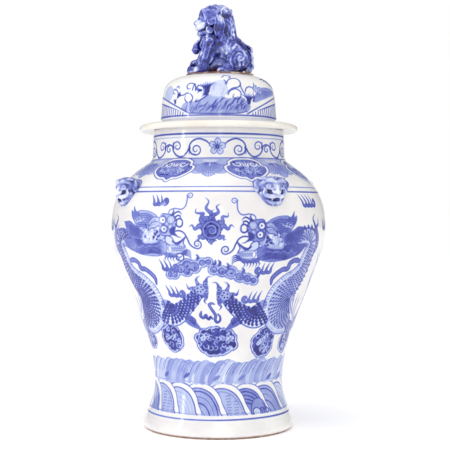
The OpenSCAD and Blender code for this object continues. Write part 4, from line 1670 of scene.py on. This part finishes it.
def lion_ball():
    """The ball under the paw, with two bands round it."""
    clay = Clay()
    clay.ball(-37, 17, 8.6, 8.6)
    for tilt in (0.3, 1.6):
        band = []
        for a in np.linspace(0, 6.6, 16):
            x, out = polar(8.4, a)
            band.append((x - 37, 17 + out * math.cos(tilt), 8.6 + out * math.sin(tilt), 1.1))
        clay.roll(band)
    return clay


LION = {
    "lion_torso": lion_torso(), "lion_head": lion_head(), "lion_mane": lion_mane(),
    "lion_foreleg_left": lion_foreleg(-1, False), "lion_foreleg_right": lion_foreleg(1, True),
    "lion_hindleg_left": lion_hindleg(-1), "lion_hindleg_right": lion_hindleg(1),
    "lion_tail": lion_tail(), "lion_bell": lion_bell(), "lion_ball": lion_ball(),
}
lion = [
    fused("clay_" + name, clay, CROWN_Z, LION_SIZE, lowest=PAD_TOP - 0.3) for name, clay in LION.items()
]
for (name, clay), obj, shut in zip(LION.items(), lion, shade(lion, 22)):
    mesh = obj.data
    x, y, z = ((vertices(mesh) - (0, 0, CROWN_Z)) / LION_SIZE).T
    # the glaze is dark in hollows large and small; painted shade darkens it where other clay shuts out
    # light, and it is paler on faces that look up and darker on those that look down
    tone = 0.54 + 0.2 * np.clip(hollows(mesh, 12) / 0.5, -0.8, 1)
    tone += 0.3 * np.clip(hollows(mesh, 60) / 1.6, -0.7, 1)
    tone += 1.1 * np.clip(shut - 0.35, 0, 1) - 0.1 * read(mesh, "normal")[:, 2]
    # a painted highlight whitens the muzzle
    muzzle_highlight = np.exp(-((x + 28) ** 2 + (z - 71) ** 2) / 45)
    store(mesh, "pigment_and_painted_light", np.clip(tone - 0.9 * muzzle_highlight, 0, 1))
    bare_belly = 1.4 * np.exp(-((x + 4) / 9) ** 2 - ((z - 4) / 5.5) ** 2)
    store(mesh, "bare", bare_belly * (name == "lion_torso"))
    place(obj, "lid", name, COBALT, "cobalt_glaze")

pad_low, pad_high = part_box("finial_pad")
pad_size = (pad_high - pad_low) / 2 / MM
pad_r = pad_size.y
pad = turned_mesh("luting_pad", [
    (pad_r, -5), (pad_r, PAD_TOP - 1.2), (pad_r - 0.5, PAD_TOP - 0.3), (pad_r - 1.6, PAD_TOP),
    (pad_r * 0.5, PAD_TOP), (0.0, PAD_TOP),
], 180)
pad.scale = (pad_size.x / pad_r, 1, 1)
pad.location = ((pad_low.x + pad_high.x) / 2, 0, CROWN_Z * MM)
place(pad, "lid", "finial_pad", RUSTY, "bare_porcelain")


# ---- The four masks ------------------------------------------------------

def mask_clay():
    """A lion's face: x is to its side, -y is outwards and z is up."""
    clay = Clay()
    clay.bones([((-9, -2, 7, 12.4), (9, -2, 7, 12.4)), ((0, -4, 6, 13.4), (0, -4.4, -4, 12.4)),
                ((-5, -7.4, -13, 7.4), (5, -7.4, -13, 7.4))])
    for side in (-1, 1):
        for points in (
            [(13, -5.6, -5, 7.4), (10, -5.6, -13, 6.4)],
            [(20.5, -3, 8, 5.6), (22.5, -3, 2, 4)],
            [(2, -16.6, 11.5, 2.8), (9, -15.2, 13.6, 3.6), (16.5, -10, 11, 2.8), (20, -7, 7, 2)],
            [(3.2, -18.4, -2.4, 2.4), (5.4, -17, -1, 2.2)],
            [(0, -18, -6.8, 2.6), (7, -16.6, -7.6, 3.2), (13.5, -12.4, -6, 3.2), (18, -7.6, -3, 2.4)],
            [(0, -14.4, -16, 2.6), (6.5, -13.6, -15.4, 2.8), (12, -10.6, -12.4, 2.4)],
            [(6.2, -16.6, -9.4, 1.9), (6.6, -16.4, -12.4, 1.2)],
            [(22, -5.4, 3.5, 2.6), (25, -4.4, 8, 2.8), (23.5, -4, 13.5, 1.8)],
            [(3, -12.6, -18, 2.4), (4, -11, -20.4, 1.6)],
            [(9, -10, -17.5, 2.2), (11.4, -7.6, -19.4, 1.4)],
        ):
            clay.roll(mirrored(points, side, axis=0))
        clay.ball(side * 8.6, -15.2, 5.6, 3.7)
        eyelids = [(8.6 + 5.4 * math.cos(a), -16.4 + 1.6 * math.cos(a), 5.6 + 3.6 * math.sin(a), 1.1)
                   for a in np.linspace(0, 6.5, 14)]
        clay.roll(mirrored(eyelids, side, axis=0))
        clay.ball(side * 8.4, -18.4, 5.6, 1.3)
        clay.curl((side * 16, -12.4, -1.5), 3.8, 1.6, 90, side)
        for k in range(4):
            x = side * (2.5 + 5 * k)
            clay.roll([(0.7 * x, -13.4, 14.6, 2), (0.9 * x, -10.6, 17.4 - 0.5 * k, 2.1),
                       (1.1 * x, -6, 18.8 - 1.1 * k, 1.5)])
    clay.roll([(0, -16.4, 8, 3), (0, -18, 2, 3.2), (0, -19.2, -2.2, 3.4)])
    return clay


MASK_R = BELLY_R - 14.6
MASK_LIFT = 0.5


def masks():
    """One mask, modelled and shaded, and three copies of it, before they are placed."""
    names = list(MASK_BOXES)
    mask = fused("clay_" + names[0], mask_clay(), relax=14)
    mesh = mask.data
    # the back of the mask ends inside the wall
    low, high = MASK_BOXES[names[0]]
    x, y, z = vertices(mesh).T
    wall_r = np.interp((low.z + high.z) / 2 / MM + MASK_LIFT + z, wall.z, wall.r) - 0.5 * WALL
    y = np.minimum(y, MASK_R - np.sqrt(np.maximum(1, wall_r ** 2 - x ** 2)))
    move(mesh, np.column_stack([x, y, z]))
    # painted shade darkens the glaze where the clay shuts out light, and the glaze is dark in hollows
    (shut,) = shade([mask], 12)
    tone = 0.58 + 0.3 * np.clip(hollows(mesh, 14) / 0.5, -0.8, 1)
    tone += 0.25 * np.clip(hollows(mesh, 60) / 1.4, -0.8, 1) + 1.2 * np.clip(shut - 0.3, 0, 1)
    # a painted highlight makes the middle paler; darker round the mane, with dark pupils
    tone -= 0.4 * np.exp(-(x ** 2 + (z - 4) ** 2) / 110)
    tone += 0.12 * np.clip((np.hypot(x, 1.1 * z) - 15) / 7, 0, 1)
    tone += 0.8 * np.exp(-((np.abs(x) - 8.4) ** 2 + (z - 5.6) ** 2) / 2)
    store(mesh, "pigment_and_painted_light", np.clip(tone, 0, 1))
    return [mask] + [new_object("clay_" + name, mesh.copy()) for name in names[1:]]


for (node, (low, high)), mask in zip(MASK_BOXES.items(), masks()):
    middle = (low + high) / 2
    spin = Matrix.Rotation(math.atan2(middle.x, -middle.y), 4, "Z")
    mask.matrix_world = spin @ Matrix.Translation((0, -MASK_R * MM, middle.z + MASK_LIFT * MM))
    place(mask, "jar", node, MASK, "mask_glaze")


# ---- Floor, light and camera ---------------------------------------------

def pale_paper():
    material = bpy.data.materials.new("pale_paper")
    n = Nodes(material)
    white = n.ramp(n.noise(3, 2), [(0.3, (0.93, 0.93, 0.93, 1)), (0.7, (0.96, 0.96, 0.96, 1))])
    shader = n.node("ShaderNodeBsdfPrincipled", {
        "Base Color": white, "Roughness": 0.9,
        "Emission Color": (1, 1, 1, 1), "Emission Strength": 0.3,
    })
    n.tree.links.new(shader.outputs[0], n.node("ShaderNodeOutputMaterial").inputs[0])
    return material


floor_mesh = bpy.data.meshes.new("floor")
floor_mesh.from_pydata([(-6, -6, 0), (6, -6, 0), (6, 6, 0), (-6, 6, 0)], [], [(0, 1, 2, 3)])
floor = new_object("floor", floor_mesh)
floor.data.materials.append(pale_paper())


def aimed(name, data, spot, aim):
    """A lamp or a camera at a place in metres, turned to face another."""
    obj = new_object(name, data)
    obj.location = spot
    obj.rotation_euler = (Vector(aim) - obj.location).to_track_quat("-Z", "Y").to_euler()
    return obj


def softbox(name, spot, width, height, watts):
    lamp = bpy.data.lights.new(name, "AREA")
    lamp.shape = "RECTANGLE"
    lamp.size = width
    lamp.size_y = height
    lamp.energy = watts
    aimed(name, lamp, spot, (0, 0, 0.3))


softbox("left_softbox", (-1.5, -0.8, 0.62), 0.13, 1.0, 4.2)
softbox("front_softbox", (0.12, -2.6, 0.9), 0.25, 1.2, 2.2)
softbox("top_softbox", (-0.3, -0.5, 2.2), 1.2, 1.2, 7)

scene = bpy.context.scene
world = bpy.data.worlds.new("studio")
sky = Nodes(world)
# the light is white in front and straight behind, and grey between, which draws the jar's edges
SKY_WHITE = (1, 1, 1, 1)
SKY_GREY = (0.3, 0.3, 0.33, 1)
direction = sky.node("ShaderNodeTexCoord").outputs["Generated"]
depth = sky.node("ShaderNodeSeparateXYZ", {0: direction}).outputs["Y"]
light = sky.ramp(depth, [(0.15, SKY_WHITE), (0.45, SKY_GREY), (0.93, SKY_GREY), (0.965, SKY_WHITE)])
# the backdrop itself is plain white
seen = sky.node("ShaderNodeLightPath").outputs["Is Camera Ray"]
glow = sky.node("ShaderNodeBackground", {"Color": sky.mix(seen, light, SKY_WHITE), "Strength": 1.0})
sky.tree.links.new(glow.outputs[0], sky.node("ShaderNodeOutputWorld").inputs[0])
scene.world = world
scene.view_settings.view_transform = "Standard"

camera_data = bpy.data.cameras.new("camera")
camera_data.lens = 90.4
camera_data.sensor_width = 36
scene.camera = aimed("camera", camera_data, (0, -1.636, 0.3096), (0.0093, 0, 0.2908))

bpy.context.view_layer.update()
